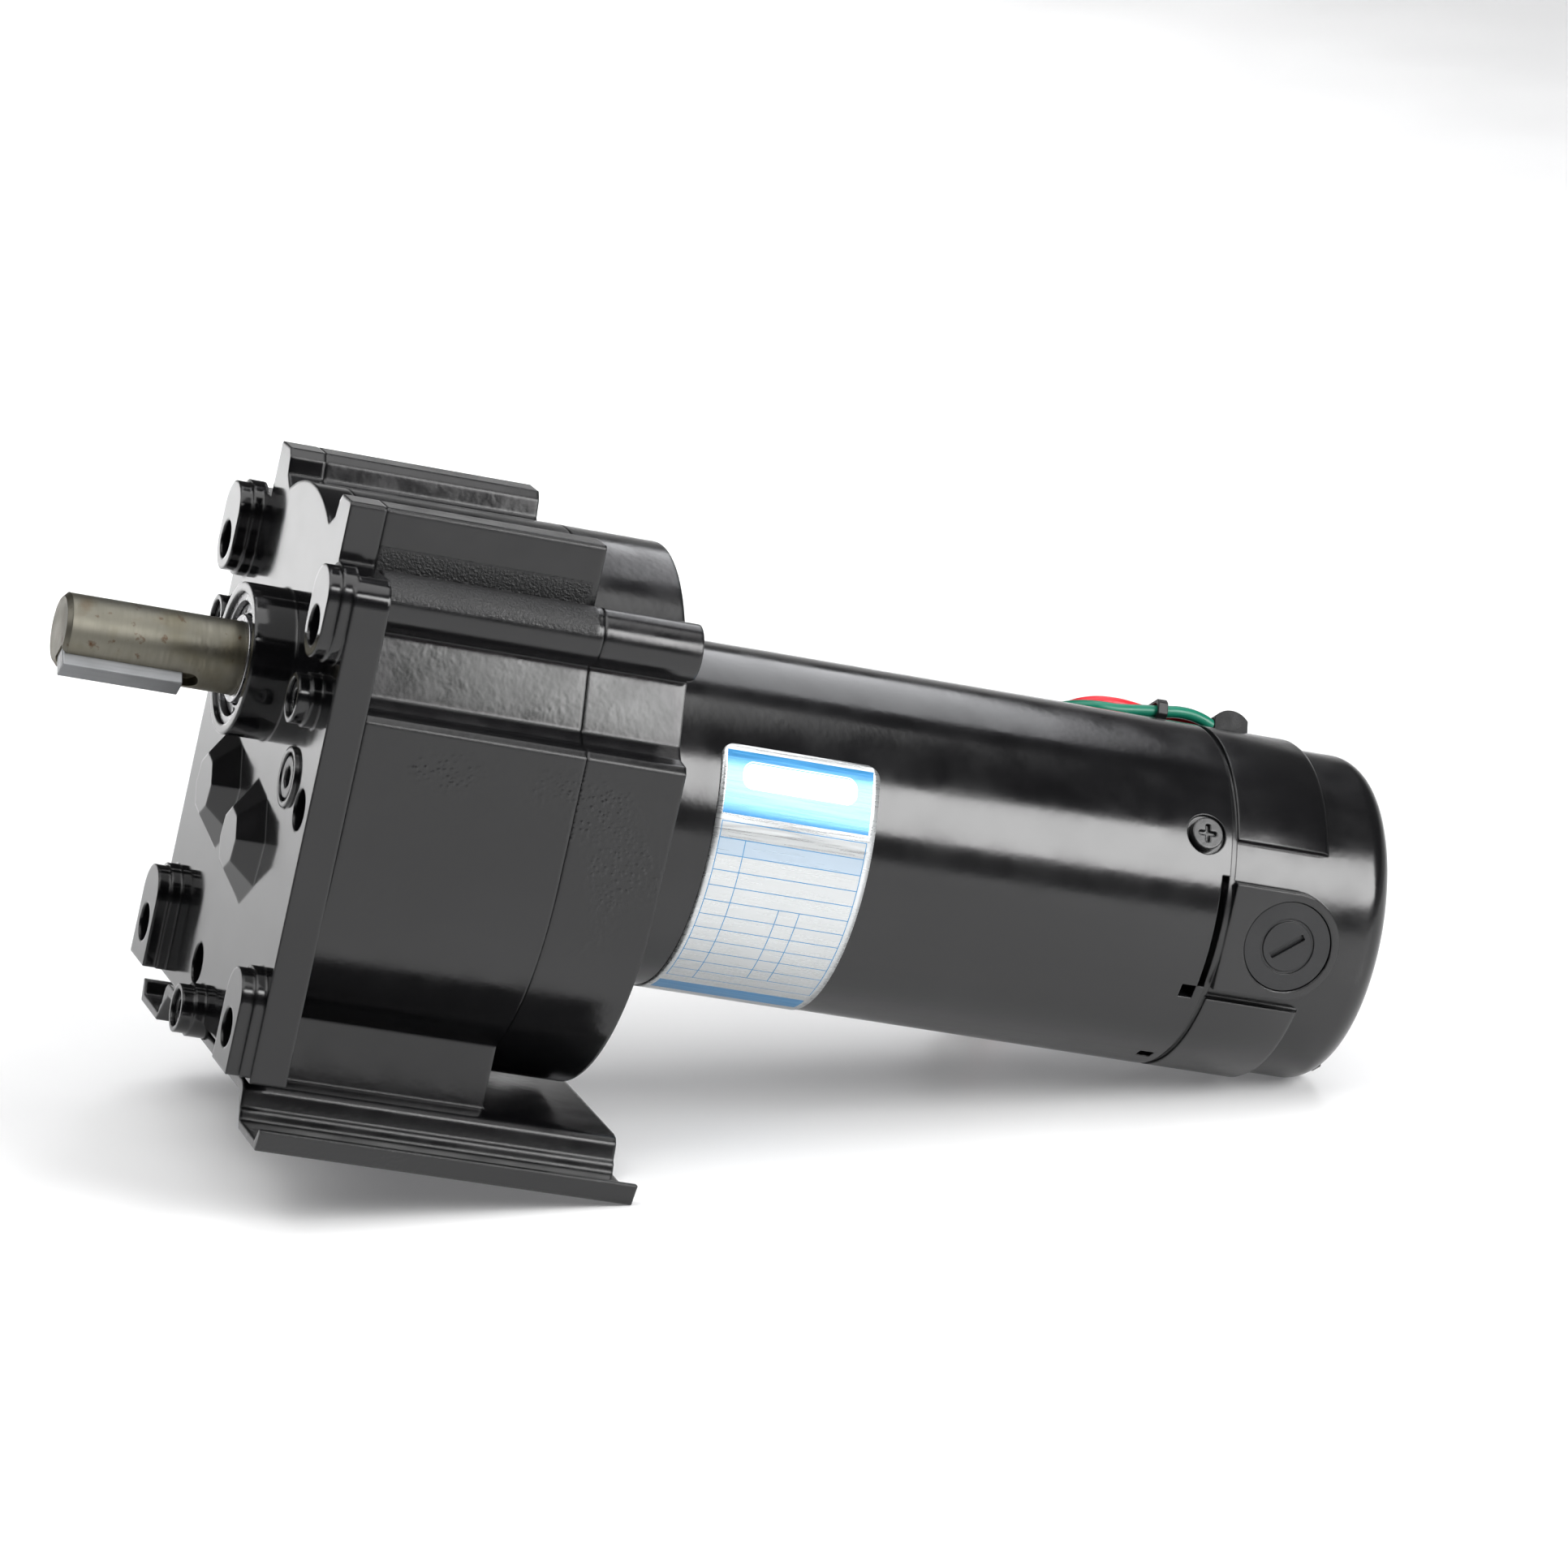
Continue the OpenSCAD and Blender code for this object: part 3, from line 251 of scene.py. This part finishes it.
def steel(name, color, lines_along, rough_low, rough_high, **sockets):
    """Machined steel with fine tool lines and a mottled finish. lines_along is a scale that stretches the pattern."""
    look = Look(name, color, (rough_low + rough_high) / 2, 1.0, **sockets)
    lines = look.noise(1.0, 3, look.stretched(lines_along))
    look.rough(lines, rough_low, rough_high)
    look.tint(look.remap(look.noise(6 * MM, 4), 0.45, 0.7, 0, 0.35), tuple(0.72 * c for c in color))
    look.bump(lines, 0.012 * MM)
    return look


def moulded(name, color, roughness, grain=0.03, **sockets):
    """Moulded plastic or rubber with a fine grain and slight unevenness of colour."""
    look = Look(name, color, roughness, **sockets)
    look.rough(look.noise(4 * MM, 3), roughness - 0.06, roughness + 0.06)
    look.tint(look.remap(look.noise(8 * MM, 3), 0.4, 0.7, 0, 0.4), tuple(min(1, 1.5 * c + 0.004) for c in color))
    look.bump(look.noise(0.5 * MM, 2), grain * MM)
    return look


def shaft_look():
    """Ground shaft steel under a dull yellow-green oil film, with specks of rust."""
    look = steel("shaft_steel", (0.150, 0.143, 0.118), (1600, 150, 150), 0.38, 0.5)
    film = look.remap(look.noise(11 * MM, 3), 0.42, 0.62, 0, 0.7)
    look.tint(film, (0.115, 0.103, 0.070))
    rust = look.remap(look.noise(3.4 * MM, 5), 0.64, 0.72, 0, 0.85)
    look.tint(rust, (0.060, 0.026, 0.010))
    stain = look.remap(look.noise(8 * MM, 5), 0.60, 0.72, 0, 0.45)
    look.tint(stain, (0.095, 0.062, 0.034))
    return look


def foil(name, color, metallic, roughness, **sockets):
    """Printed foil, finely brushed along the motor's axis."""
    look = Look(name, color, roughness, metallic, **sockets)
    brushed = look.noise(1.0, 2, look.stretched((60, 2400, 2400)))
    look.rough(brushed, roughness - 0.07, roughness + 0.09)
    look.bump(brushed, 0.004 * MM)
    look.tint(look.remap(look.noise(12 * MM, 2), 0.4, 0.7, 0, 0.25), tuple(0.86 * c for c in color))
    return look


def header_look():
    """Printed blue band with a blank pale panel inside a thin outline."""
    look = foil("plate_blue", BAND_BLUE, 0.3, 0.2, Coat_Weight=0.8, Coat_Roughness=0.16)
    across = look.maths("ABSOLUTE", look.maths("SUBTRACT", look.part("X"), (plate_low.x + plate_high.x) / 2))
    along = look.maths("ABSOLUTE", look.maths("SUBTRACT", look.part("Z"), plate_high.z - PANEL_DOWN))
    across = look.maths("MAXIMUM", look.maths("SUBTRACT", across, PANEL_HALF[0] - PANEL_CORNER), 0.0)
    along = look.maths("MAXIMUM", look.maths("SUBTRACT", along, PANEL_HALF[1] - PANEL_CORNER), 0.0)
    apart = look.maths("SQRT", look.maths("ADD", look.maths("MULTIPLY", across, across),
                                          look.maths("MULTIPLY", along, along)))
    for edge, fade, color in ((OUTLINE[1], 0.06 * MM, PANEL_PALE), (OUTLINE[0], 0.04 * MM, BAND_BLUE),
                              (0.0, 0.05 * MM, PANEL_PALE)):
        look.tint(look.remap(apart, PANEL_CORNER + edge, PANEL_CORNER + edge + fade, 1, 0), color)
    return look


LOOKS = {
    "case_paint": cast_enamel("case_paint"),
    "cover_paint": enamel("cover_paint", 0.004 * MM, 0.02 * MM, 0.08, 0.13, 0.9),
    "tube_paint": enamel("tube_paint", 0.010 * MM, 0.02 * MM, 0.13, 0.19),
    "cap_paint": enamel("cap_paint", 0.012 * MM, 0.04 * MM, 0.18, 0.26, 0.6),
    "screw_black": enamel("screw_black", 0.02 * MM, 0.02 * MM, 0.2, 0.34),
    "shaft_steel": shaft_look(),
    "key_steel": steel("key_steel", (0.20, 0.205, 0.21), (40, 1500, 1500), 0.3, 0.42),
    "bearing_steel": steel("bearing_steel", (0.30, 0.30, 0.305), (500, 500, 500), 0.24, 0.36),
    "gear_steel": steel("gear_steel", (0.46, 0.46, 0.47), (900, 300, 300), 0.24, 0.38),
    "bush_bronze": steel("bush_bronze", (0.55, 0.36, 0.17), (1400, 1400, 1400), 0.34, 0.48),
    "seal_rubber": moulded("seal_rubber", (0.006, 0.006, 0.0065), 0.5, 0.05, Specular_IOR_Level=0.22),
    "core_steel": steel("core_steel", (0.19, 0.19, 0.20), (2000, 40, 40), 0.4, 0.55),
    "winding_enamel": steel("winding_enamel", (0.52, 0.17, 0.055), (120, 900, 900), 0.2, 0.3, Coat_Weight=0.6),
    "commutator_copper": steel("commutator_copper", (0.70, 0.33, 0.17), (2200, 60, 60), 0.22, 0.34),
    "magnet_ferrite": moulded("magnet_ferrite", (0.045, 0.045, 0.048), 0.55, 0.06),
    "holder_brass": steel("holder_brass", (0.66, 0.47, 0.17), (300, 900, 300), 0.24, 0.36),
    "brush_carbon": moulded("brush_carbon", (0.02, 0.02, 0.021), 0.42, 0.03),
    "spring_steel": steel("spring_steel", (0.5, 0.5, 0.5), (900, 900, 900), 0.2, 0.32),
    "cap_plastic": moulded("cap_plastic", (0.008, 0.0082, 0.009), 0.36, 0.02, Specular_IOR_Level=0.4),
    "plate_foil": foil("plate_foil", (0.53, 0.545, 0.55), 0.85, 0.3),
    "lead_red": moulded("lead_red", (0.56, 0.016, 0.026), 0.34, 0.015, Specular_IOR_Level=0.35),
    "lead_green": moulded("lead_green", (0.004, 0.135, 0.082), 0.34, 0.015, Specular_IOR_Level=0.35),
    "lead_black": moulded("lead_black", (0.006, 0.006, 0.0065), 0.34, 0.015, Specular_IOR_Level=0.3),
    "tie_nylon": moulded("tie_nylon", (0.007, 0.007, 0.0075), 0.42, 0.03, Specular_IOR_Level=0.3),
}
plate_blue = header_look()
plate_line = foil("plate_line", (0.06, 0.22, 0.42), 0.2, 0.4)
plate_shade = foil("plate_shade", (0.40, 0.48, 0.56), 0.6, 0.34)
tinned_copper = steel("tinned_copper", (0.62, 0.50, 0.40), (900, 900, 900), 0.25, 0.4)

SLOT_OF = {row["node"]: row["material_slot"] for row in frame["record"]["subparts"]}


# ---- Building helpers ----

def new_piece(name, mesh, materials, body="housing"):
    """Puts a mesh in the scene as a piece that rides on a body."""
    piece = bpy.data.objects.new(name, mesh)
    scene.collection.objects.link(piece)
    for material in materials:
        mesh.materials.append(material)
    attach(piece, body)
    return piece


def from_bmesh(name, bm):
    mesh = bpy.data.meshes.new(name)
    bm.normal_update()
    bm.to_mesh(mesh)
    bm.free()
    return mesh


# ---- Leads ----

LEAD_R = 1.35 * MM
EXIT_ANGLE = math.radians(62)
SEAT = 0.05 * MM


def on_tube(x, along, lift):
    """A point on the tube: distance round it from the exit line, and lift off it, in millimetres."""
    r = tube_r + lift * MM + SEAT
    turn = EXIT_ANGLE - along * MM / tube_r
    return Vector((x * MM, r * math.cos(turn), motor_z + r * math.sin(turn)))


def below(x, y, height):
    """A point over the surface that the gearmotor rests on."""
    return Vector((x * MM, y * MM, floor_z(x * MM) + height * MM))


# Route of each lead from its bush: on the tube (x, along, lift), then below it (x, y, height)
LEADS = {
    "red": (
        [(117, 0, 1.4), (114, 0, 2.6), (110, 0, 3.2), (104, 0, 2.6), (99, 0, 3.3), (94, 0, 3.6),
         (89, 1, 3.3), (85, 4, 2.5), (82.4, 9, 1.8), (81.5, 15, 1.5), (81.3, 23, 1.4), (81.3, 31, 1.4)],
        [(81.3, 39.9, 52), (81.3, 40.3, 42), (81.6, 41, 32), (82.6, 42.2, 22.2), (85, 43.8, 13.5),
         (89.2, 45.4, 6.9), (95.2, 46.8, 3), (102.5, 47.8, 1.9), (112.5, 48.8, 1.8), (122.5, 49.6, 1.8),
         (132.5, 50, 1.8), (141, 49.8, 1.8)]),
    "green": (
        [(117, -2.9, 1.4), (114, -2.9, 2.6), (110, -2.9, 3.2), (104, -2.9, 2.6), (99, -2.9, 2), (94, -3, 1.4),
         (88, -2, 1.4), (83, 2, 1.4), (79.4, 8, 1.4), (78, 15, 1.4), (77.6, 23, 1.4), (77.5, 31, 1.4)],
        [(77.5, 39.9, 53), (77.5, 40.3, 43), (77.8, 41.2, 33.1), (78.9, 43, 23.4), (81.3, 45.4, 14.2),
         (85.5, 47.8, 7.1), (91.5, 49.8, 3.1), (98.5, 51.2, 1.9), (108.5, 52.6, 1.8), (118.5, 53.6, 1.8),
         (129, 54, 1.8), (139.5, 53.8, 1.8)]),
    "black": (
        [(117, 2.9, 1.4), (114, 2.9, 2.6), (110, 2.9, 3.2), (104, 2.9, 2.6), (99, 2.9, 2), (94, 3, 1.4),
         (90, 4, 1.4), (87, 6.5, 1.4), (85.4, 11, 1.4), (85, 17, 1.4), (85, 24, 1.4), (85, 31, 1.4)],
        [(85, 39.9, 51.1), (85, 40.2, 41.1), (85.3, 40.6, 31.3), (86.3, 41.2, 21.5), (88.7, 42.2, 13),
         (92.9, 43.2, 6.8), (98.9, 44, 2.9), (106.5, 44.6, 1.9), (116.5, 45.2, 1.8), (126.5, 45.8, 1.8),
         (135, 45.9, 1.8), (142, 45.6, 1.8)]),
}


def lead_curve(name, points):
    """A round wire along one smooth open spline."""
    data = bpy.data.curves.new(name, "CURVE")
    data.dimensions = "3D"
    data.resolution_u = 6
    data.bevel_depth = LEAD_R
    data.bevel_resolution = 5
    data.use_fill_caps = True
    spline = data.splines.new("BEZIER")
    spline.bezier_points.add(len(points) - 1)
    for knot, place in zip(spline.bezier_points, points):
        knot.co = place
        knot.handle_left_type = knot.handle_right_type = "AUTO"
    return data


def strands(name, end, heading):
    """Stripped end of a lead: twisted strands that stand out of the insulation."""
    count, strand_r, ring_r = 7, 0.27 * MM, 0.52 * MM
    length, steps, sides = 6 * MM, 14, 8
    twist, tucked_in = 0.45, 0.5 * MM
    side = heading.cross(UP).normalized()
    top = side.cross(heading)
    bm = bmesh.new()
    for k in range(count):
        centre_r = 0 if k == 0 else ring_r
        rings = []
        for i in range(steps + 1):
            turn = 2 * math.pi * (k / (count - 1) + twist * i / steps)
            middle = end + heading * (length * i / steps - tucked_in)
            middle += centre_r * (math.cos(turn) * side + math.sin(turn) * top)
            rings.append([
                bm.verts.new(middle + strand_r * (math.cos(a) * side + math.sin(a) * top))
                for a in (2 * math.pi * j / sides for j in range(sides))])
        for low, high in zip(rings, rings[1:]):
            for j in range(sides):
                after = (j + 1) % sides
                bm.faces.new((low[j], low[after], high[after], high[j]))
        bm.faces.new(rings[0][::-1])
        bm.faces.new(rings[-1])
    mesh = from_bmesh(name, bm)
    mesh.shade_smooth()
    return mesh


for colour, (upper, lower) in LEADS.items():
    route = [on_tube(*p) for p in upper] + [below(*p) for p in lower]
    slot = f"lead_{colour}"
    lead = bpy.data.objects.new(f"{colour}_lead", lead_curve(f"{colour}_lead", route))
    scene.collection.objects.link(lead)
    lead.data.materials.append(LOOKS[slot].material)
    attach(lead, "housing")
    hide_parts(f"lead_{colour}_wire")
    heading = (route[-1] - route[-2]).normalized()
    bare_end = new_piece(
        f"{colour}_strands", strands(f"{colour}_strands", route[-1], heading), [tinned_copper.material])


# ---- Studio ----

AIM_LINE = CAMERA_AIM - CAMERA_PLACE
AHEAD = (AIM_LINE - AIM_LINE.dot(UP) * UP).normalized()
RIGHT = AHEAD.cross(UP)
MIDDLE = Vector((0.0, 0.0, floor_z(0.0)))
FLOOR_R = 9
GLOW_FROM, GLOW_TO = 0.8, 4.5
COOL = (0.96, 0.97, 1.0)

# Brightness of the world along an axis: the axis, the two heights or depths it fades between, and the two values
WORLD_FADES = ((UP, 0.10, 0.24, 0.55, 0.07), (AHEAD, -0.4, 0.6, 0.4, 1.0))


def studio(right, back, height):
    """A place in the studio from the middle of the object, seen from the camera."""
    return MIDDLE + RIGHT * right + AHEAD * back + UP * height


def towards(azimuth, elevation, distance, right=0.0, up=0.0, turn=0.0):
    """Matrix of a light that faces the object, from an azimuth counted clockwise from straight behind it.

    right and up shift it in its own plane, and turn rotates it there.
    """
    a, e = math.radians(azimuth), math.radians(elevation)
    place = studio(math.sin(a) * math.cos(e) * distance, math.cos(a) * math.cos(e) * distance, math.sin(e) * distance)
    shift = Matrix.Translation((-right, up, 0))
    return facing(place, MIDDLE, UP) @ shift @ Matrix.Rotation(math.radians(turn), 4, "Z")


def softbox(name, matrix, width, height, radiance, tint=(1, 1, 1), spread=180):
    """A rectangular light of that radiance, held to a cone of that spread in degrees."""
    data = bpy.data.lights.new(name, "AREA")
    data.shape = "RECTANGLE"
    data.size = width
    data.size_y = height
    data.energy = radiance * math.pi * width * height
    data.color = tint
    data.spread = math.radians(spread)
    light = bpy.data.objects.new(name, data)
    light.matrix_world = matrix
    light.visible_camera = False
    scene.collection.objects.link(light)


def make_floor():
    """A pale disc that carries the object. It glows as painted light: faintly near the object, which lifts its
    shadows, and more far away.
    """
    bm = bmesh.new()
    bmesh.ops.create_circle(bm, cap_ends=True, segments=96, radius=FLOOR_R)
    floor = bpy.data.objects.new("floor", from_bmesh("floor", bm))
    scene.collection.objects.link(floor)
    floor.matrix_world = Matrix.Translation(MIDDLE) @ Matrix.Rotation(-TIP, 4, "Y")
    look = Look("floor", (0.84, 0.84, 0.84), 0.42, Emission_Color=(1, 1, 1.02, 1))
    away = look.add("ShaderNodeVectorMath", operation="LENGTH")
    look.feed(away, 0, look.place)
    # Painted light: emission that runs from 0.14 near the middle to 0.6 far out, lifting the floor's shadows and
    # brightening the far floor
    glow = look.remap(away.outputs["Value"], GLOW_FROM, GLOW_TO, 0.14, 0.6)
    look.tree.links.new(glow, look.shader.inputs["Emission Strength"])
    look.rough(look.noise(60 * MM, 3), 0.36, 0.5)
    floor.data.materials.append(look.material)


def make_world():
    """Pale near the horizon behind the object, and nearly dark above and in front."""
    world = bpy.data.worlds.new("studio")
    scene.world = world
    world.use_nodes = True
    nodes, links = world.node_tree.nodes, world.node_tree.links
    background = nodes["Background"]
    coords = nodes.new("ShaderNodeTexCoord")
    both = nodes.new("ShaderNodeMath")
    both.operation = "MULTIPLY"
    for k, (axis, *limits) in enumerate(WORLD_FADES):
        along = nodes.new("ShaderNodeVectorMath")
        along.operation = "DOT_PRODUCT"
        along.inputs[1].default_value = axis
        fade = nodes.new("ShaderNodeMapRange")
        for socket, limit in zip(RANGE_SOCKETS, limits):
            fade.inputs[socket].default_value = limit
        links.new(coords.outputs["Generated"], along.inputs[0])
        links.new(along.outputs["Value"], fade.inputs["Value"])
        links.new(fade.outputs[0], both.inputs[k])
    links.new(both.outputs[0], background.inputs["Strength"])
    background.inputs["Color"].default_value = (1, 1, 1, 1)


make_floor()
make_world()
softbox("front_softbox", towards(135, 25, 1.4, -0.27, 0.10), 0.80, 0.65, 12.5)
softbox("rear_strip", towards(35, 48, 1.3, -0.24, -0.18, -43), 0.95, 0.20, 3.0, COOL)
softbox("top_strip", towards(35, 48, 1.3, 0.02, 0.50, -43), 0.72, 0.17, 5.0, COOL)
softbox("backdrop_light", facing(studio(-0.75, 1.25, 1.1), studio(-0.75, 1.25, 0), AHEAD),
        1.3, 1.3, 3.2, spread=75)
softbox("fill_light", facing(studio(0.1, -0.5, 2.4), MIDDLE, AHEAD), 2.8, 2.4, 2.6)
softbox("left_fill", towards(-125, 52, 1.8), 1.6, 1.1, 2.4)
scene.view_settings.view_transform = "Standard"
scene.view_settings.look = "None"


# ---- CAD nodes: materials and softened edges ----

WELD_GAP = 0.002 * MM
FLAT_ANGLE = math.radians(0.4)
SHARP_ANGLE = math.radians(26)


def soften(node, width):
    """Rounds the sharp edges of a CAD node."""
    weld = node.modifiers.new("weld", "WELD")
    weld.merge_threshold = WELD_GAP
    flat = node.modifiers.new("flatten", "DECIMATE")
    flat.decimate_type = "DISSOLVE"
    flat.angle_limit = FLAT_ANGLE
    bevel = node.modifiers.new("bevel", "BEVEL")
    bevel.width = width
    bevel.segments = 2
    bevel.limit_method = "ANGLE"
    bevel.angle_limit = SHARP_ANGLE
    bevel.use_clamp_overlap = False
    bevel.harden_normals = True
    bevel.miter_outer = "MITER_ARC"


# Widths of the rounded edges in millimetres, and the width for every other node
OTHER_EDGE = 0.08
EDGE = {
    "gear_housing": 0.25, "motor_adapter": 0.15, "output_cover": 0.1, "rear_end_cap": 0.08, "motor_tube": 0.12,
    "cover_screws": 0.3, "vent_plug": 0.4, "end_cap_screws": 0.25, "through_bolts": 0.25, "brush_caps": 0.15,
    "output_shaft": 0.08, "output_key": 0.3, "front_bearing_outer": 0.2, "front_bearing_inner": 0.2,
    "lead_grommet": 0.15, "lead_tie": 0.25,
}

for name, node in frame["nodes"].items():
    node.data.materials.clear()
    node.data.materials.append(LOOKS[SLOT_OF[name]].material)
    if "custom_normal" in node.data.attributes:
        node.data.attributes.remove(node.data.attributes["custom_normal"])
    node.data.shade_smooth()
    soften(node, EDGE.get(name, OTHER_EDGE) * MM)


# ---- Nameplate ----

PLATE_THICK = 0.2 * MM
PLATE_LIFT = 0.03 * MM
PLATE_ANGLES = (math.radians(143), math.radians(268))
PLATE_CORNER = 3 * MM
PLATE_STEP = 1 * MM

# What is printed on it: distances from its top edge, and from its left edge for BAND and COLUMNS
RULE = 0.2 * MM
BAND = (1.3 * MM, 34.5 * MM)
HEADER = (1.4 * MM, 15.4 * MM)
TABLE = (17.0 * MM, 59.5 * MM)
TABLE_ROWS = 12
FOOTER = (62.8 * MM, 69.5 * MM)
COLUMNS = (1.5 * MM, 7.4 * MM, 18.5 * MM, 23.2 * MM, 34.3 * MM)
SPLIT_ROWS = range(5, 11)
SHADED_ROW = 1


def plate_kind(d, x):
    """What the plate shows at a distance from its top and from its left edge: foil, blue, line or shade."""
    in_band = BAND[0] < x < BAND[1]
    if HEADER[0] < d < HEADER[1]:
        return "blue" if in_band else "foil"
    if FOOTER[0] < d < FOOTER[1]:
        return "line" if in_band else "foil"
    if not (TABLE[0] < d < TABLE[1] + RULE and COLUMNS[0] < x < COLUMNS[-1] + RULE):
        return "foil"
    row, into = divmod(d - TABLE[0], (TABLE[1] - TABLE[0]) / TABLE_ROWS)
    rules = COLUMNS if row in SPLIT_ROWS else (COLUMNS[0], COLUMNS[1], COLUMNS[-1])
    if row == 0:
        rules = (COLUMNS[0], COLUMNS[-1])
    if into < RULE or any(c < x < c + RULE for c in rules):
        return "line"
    return "shade" if row == SHADED_ROW else "foil"


def make_nameplate():
    """Rolled foil plate with rounded corners, coloured bands and an empty table."""
    width = plate_high.x - plate_low.x
    r_out = tube_r + PLATE_LIFT + PLATE_THICK
    length = (PLATE_ANGLES[1] - PLATE_ANGLES[0]) * r_out
    columns = sorted({0, *BAND, width, *COLUMNS, *(c + RULE for c in COLUMNS)})
    pitch = (TABLE[1] - TABLE[0]) / TABLE_ROWS
    round_ends = [PLATE_CORNER * (1 - math.cos(math.radians(a))) for a in range(0, 91, 10)]
    cuts = sorted({round(d, 7) for d in [
        0, *HEADER, *TABLE, *FOOTER, *round_ends, *(length - d for d in round_ends),
        *(TABLE[0] + k * pitch for k in range(TABLE_ROWS + 1)),
        *(TABLE[0] + k * pitch + RULE for k in range(TABLE_ROWS + 1)),
        *(k * PLATE_STEP for k in range(int(length / PLATE_STEP) + 1))]})

    def inset(d):
        """How far the rounded corners pull the sides in at a distance from the top."""
        near = PLATE_CORNER - min(d, length - d)
        return PLATE_CORNER - math.sqrt(max(0, PLATE_CORNER ** 2 - near ** 2)) if near > 0 else 0

    def surface(d, x):
        """A point on the plate's outer face."""
        turn = PLATE_ANGLES[0] + d / r_out
        return Vector((plate_low.x + x, r_out * math.cos(turn), motor_z + r_out * math.sin(turn)))

    names = ("foil", "blue", "line", "shade")
    bm = bmesh.new()
    grid = []
    for d in cuts:
        low, high = inset(d), width - inset(d)
        grid.append([bm.verts.new(surface(d, min(max(x, low), high))) for x in columns])
    for i in range(len(cuts) - 1):
        for j in range(len(columns) - 1):
            corners = (grid[i][j], grid[i][j + 1], grid[i + 1][j + 1], grid[i + 1][j])
            face = bm.faces.new(corners)
            middle_d, middle_x = (cuts[i] + cuts[i + 1]) / 2, (columns[j] + columns[j + 1]) / 2
            face.material_index = names.index(plate_kind(middle_d, middle_x))
            face.smooth = True
    bmesh.ops.remove_doubles(bm, verts=bm.verts, dist=0.001 * MM)
    rim = [e for e in bm.edges if e.is_boundary]
    walls = bmesh.ops.extrude_edge_only(bm, edges=rim)["geom"]
    for v in (g for g in walls if isinstance(g, bmesh.types.BMVert)):
        centre_line = Vector((v.co.x, 0, motor_z))
        v.co = centre_line + (v.co - centre_line).normalized() * (tube_r + PLATE_LIFT)
    bmesh.ops.recalc_face_normals(bm, faces=bm.faces)
    piece = new_piece("rating_plate", from_bmesh("rating_plate", bm),
                      [LOOKS["plate_foil"].material, plate_blue.material, plate_line.material, plate_shade.material])
    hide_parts("nameplate")


make_nameplate()
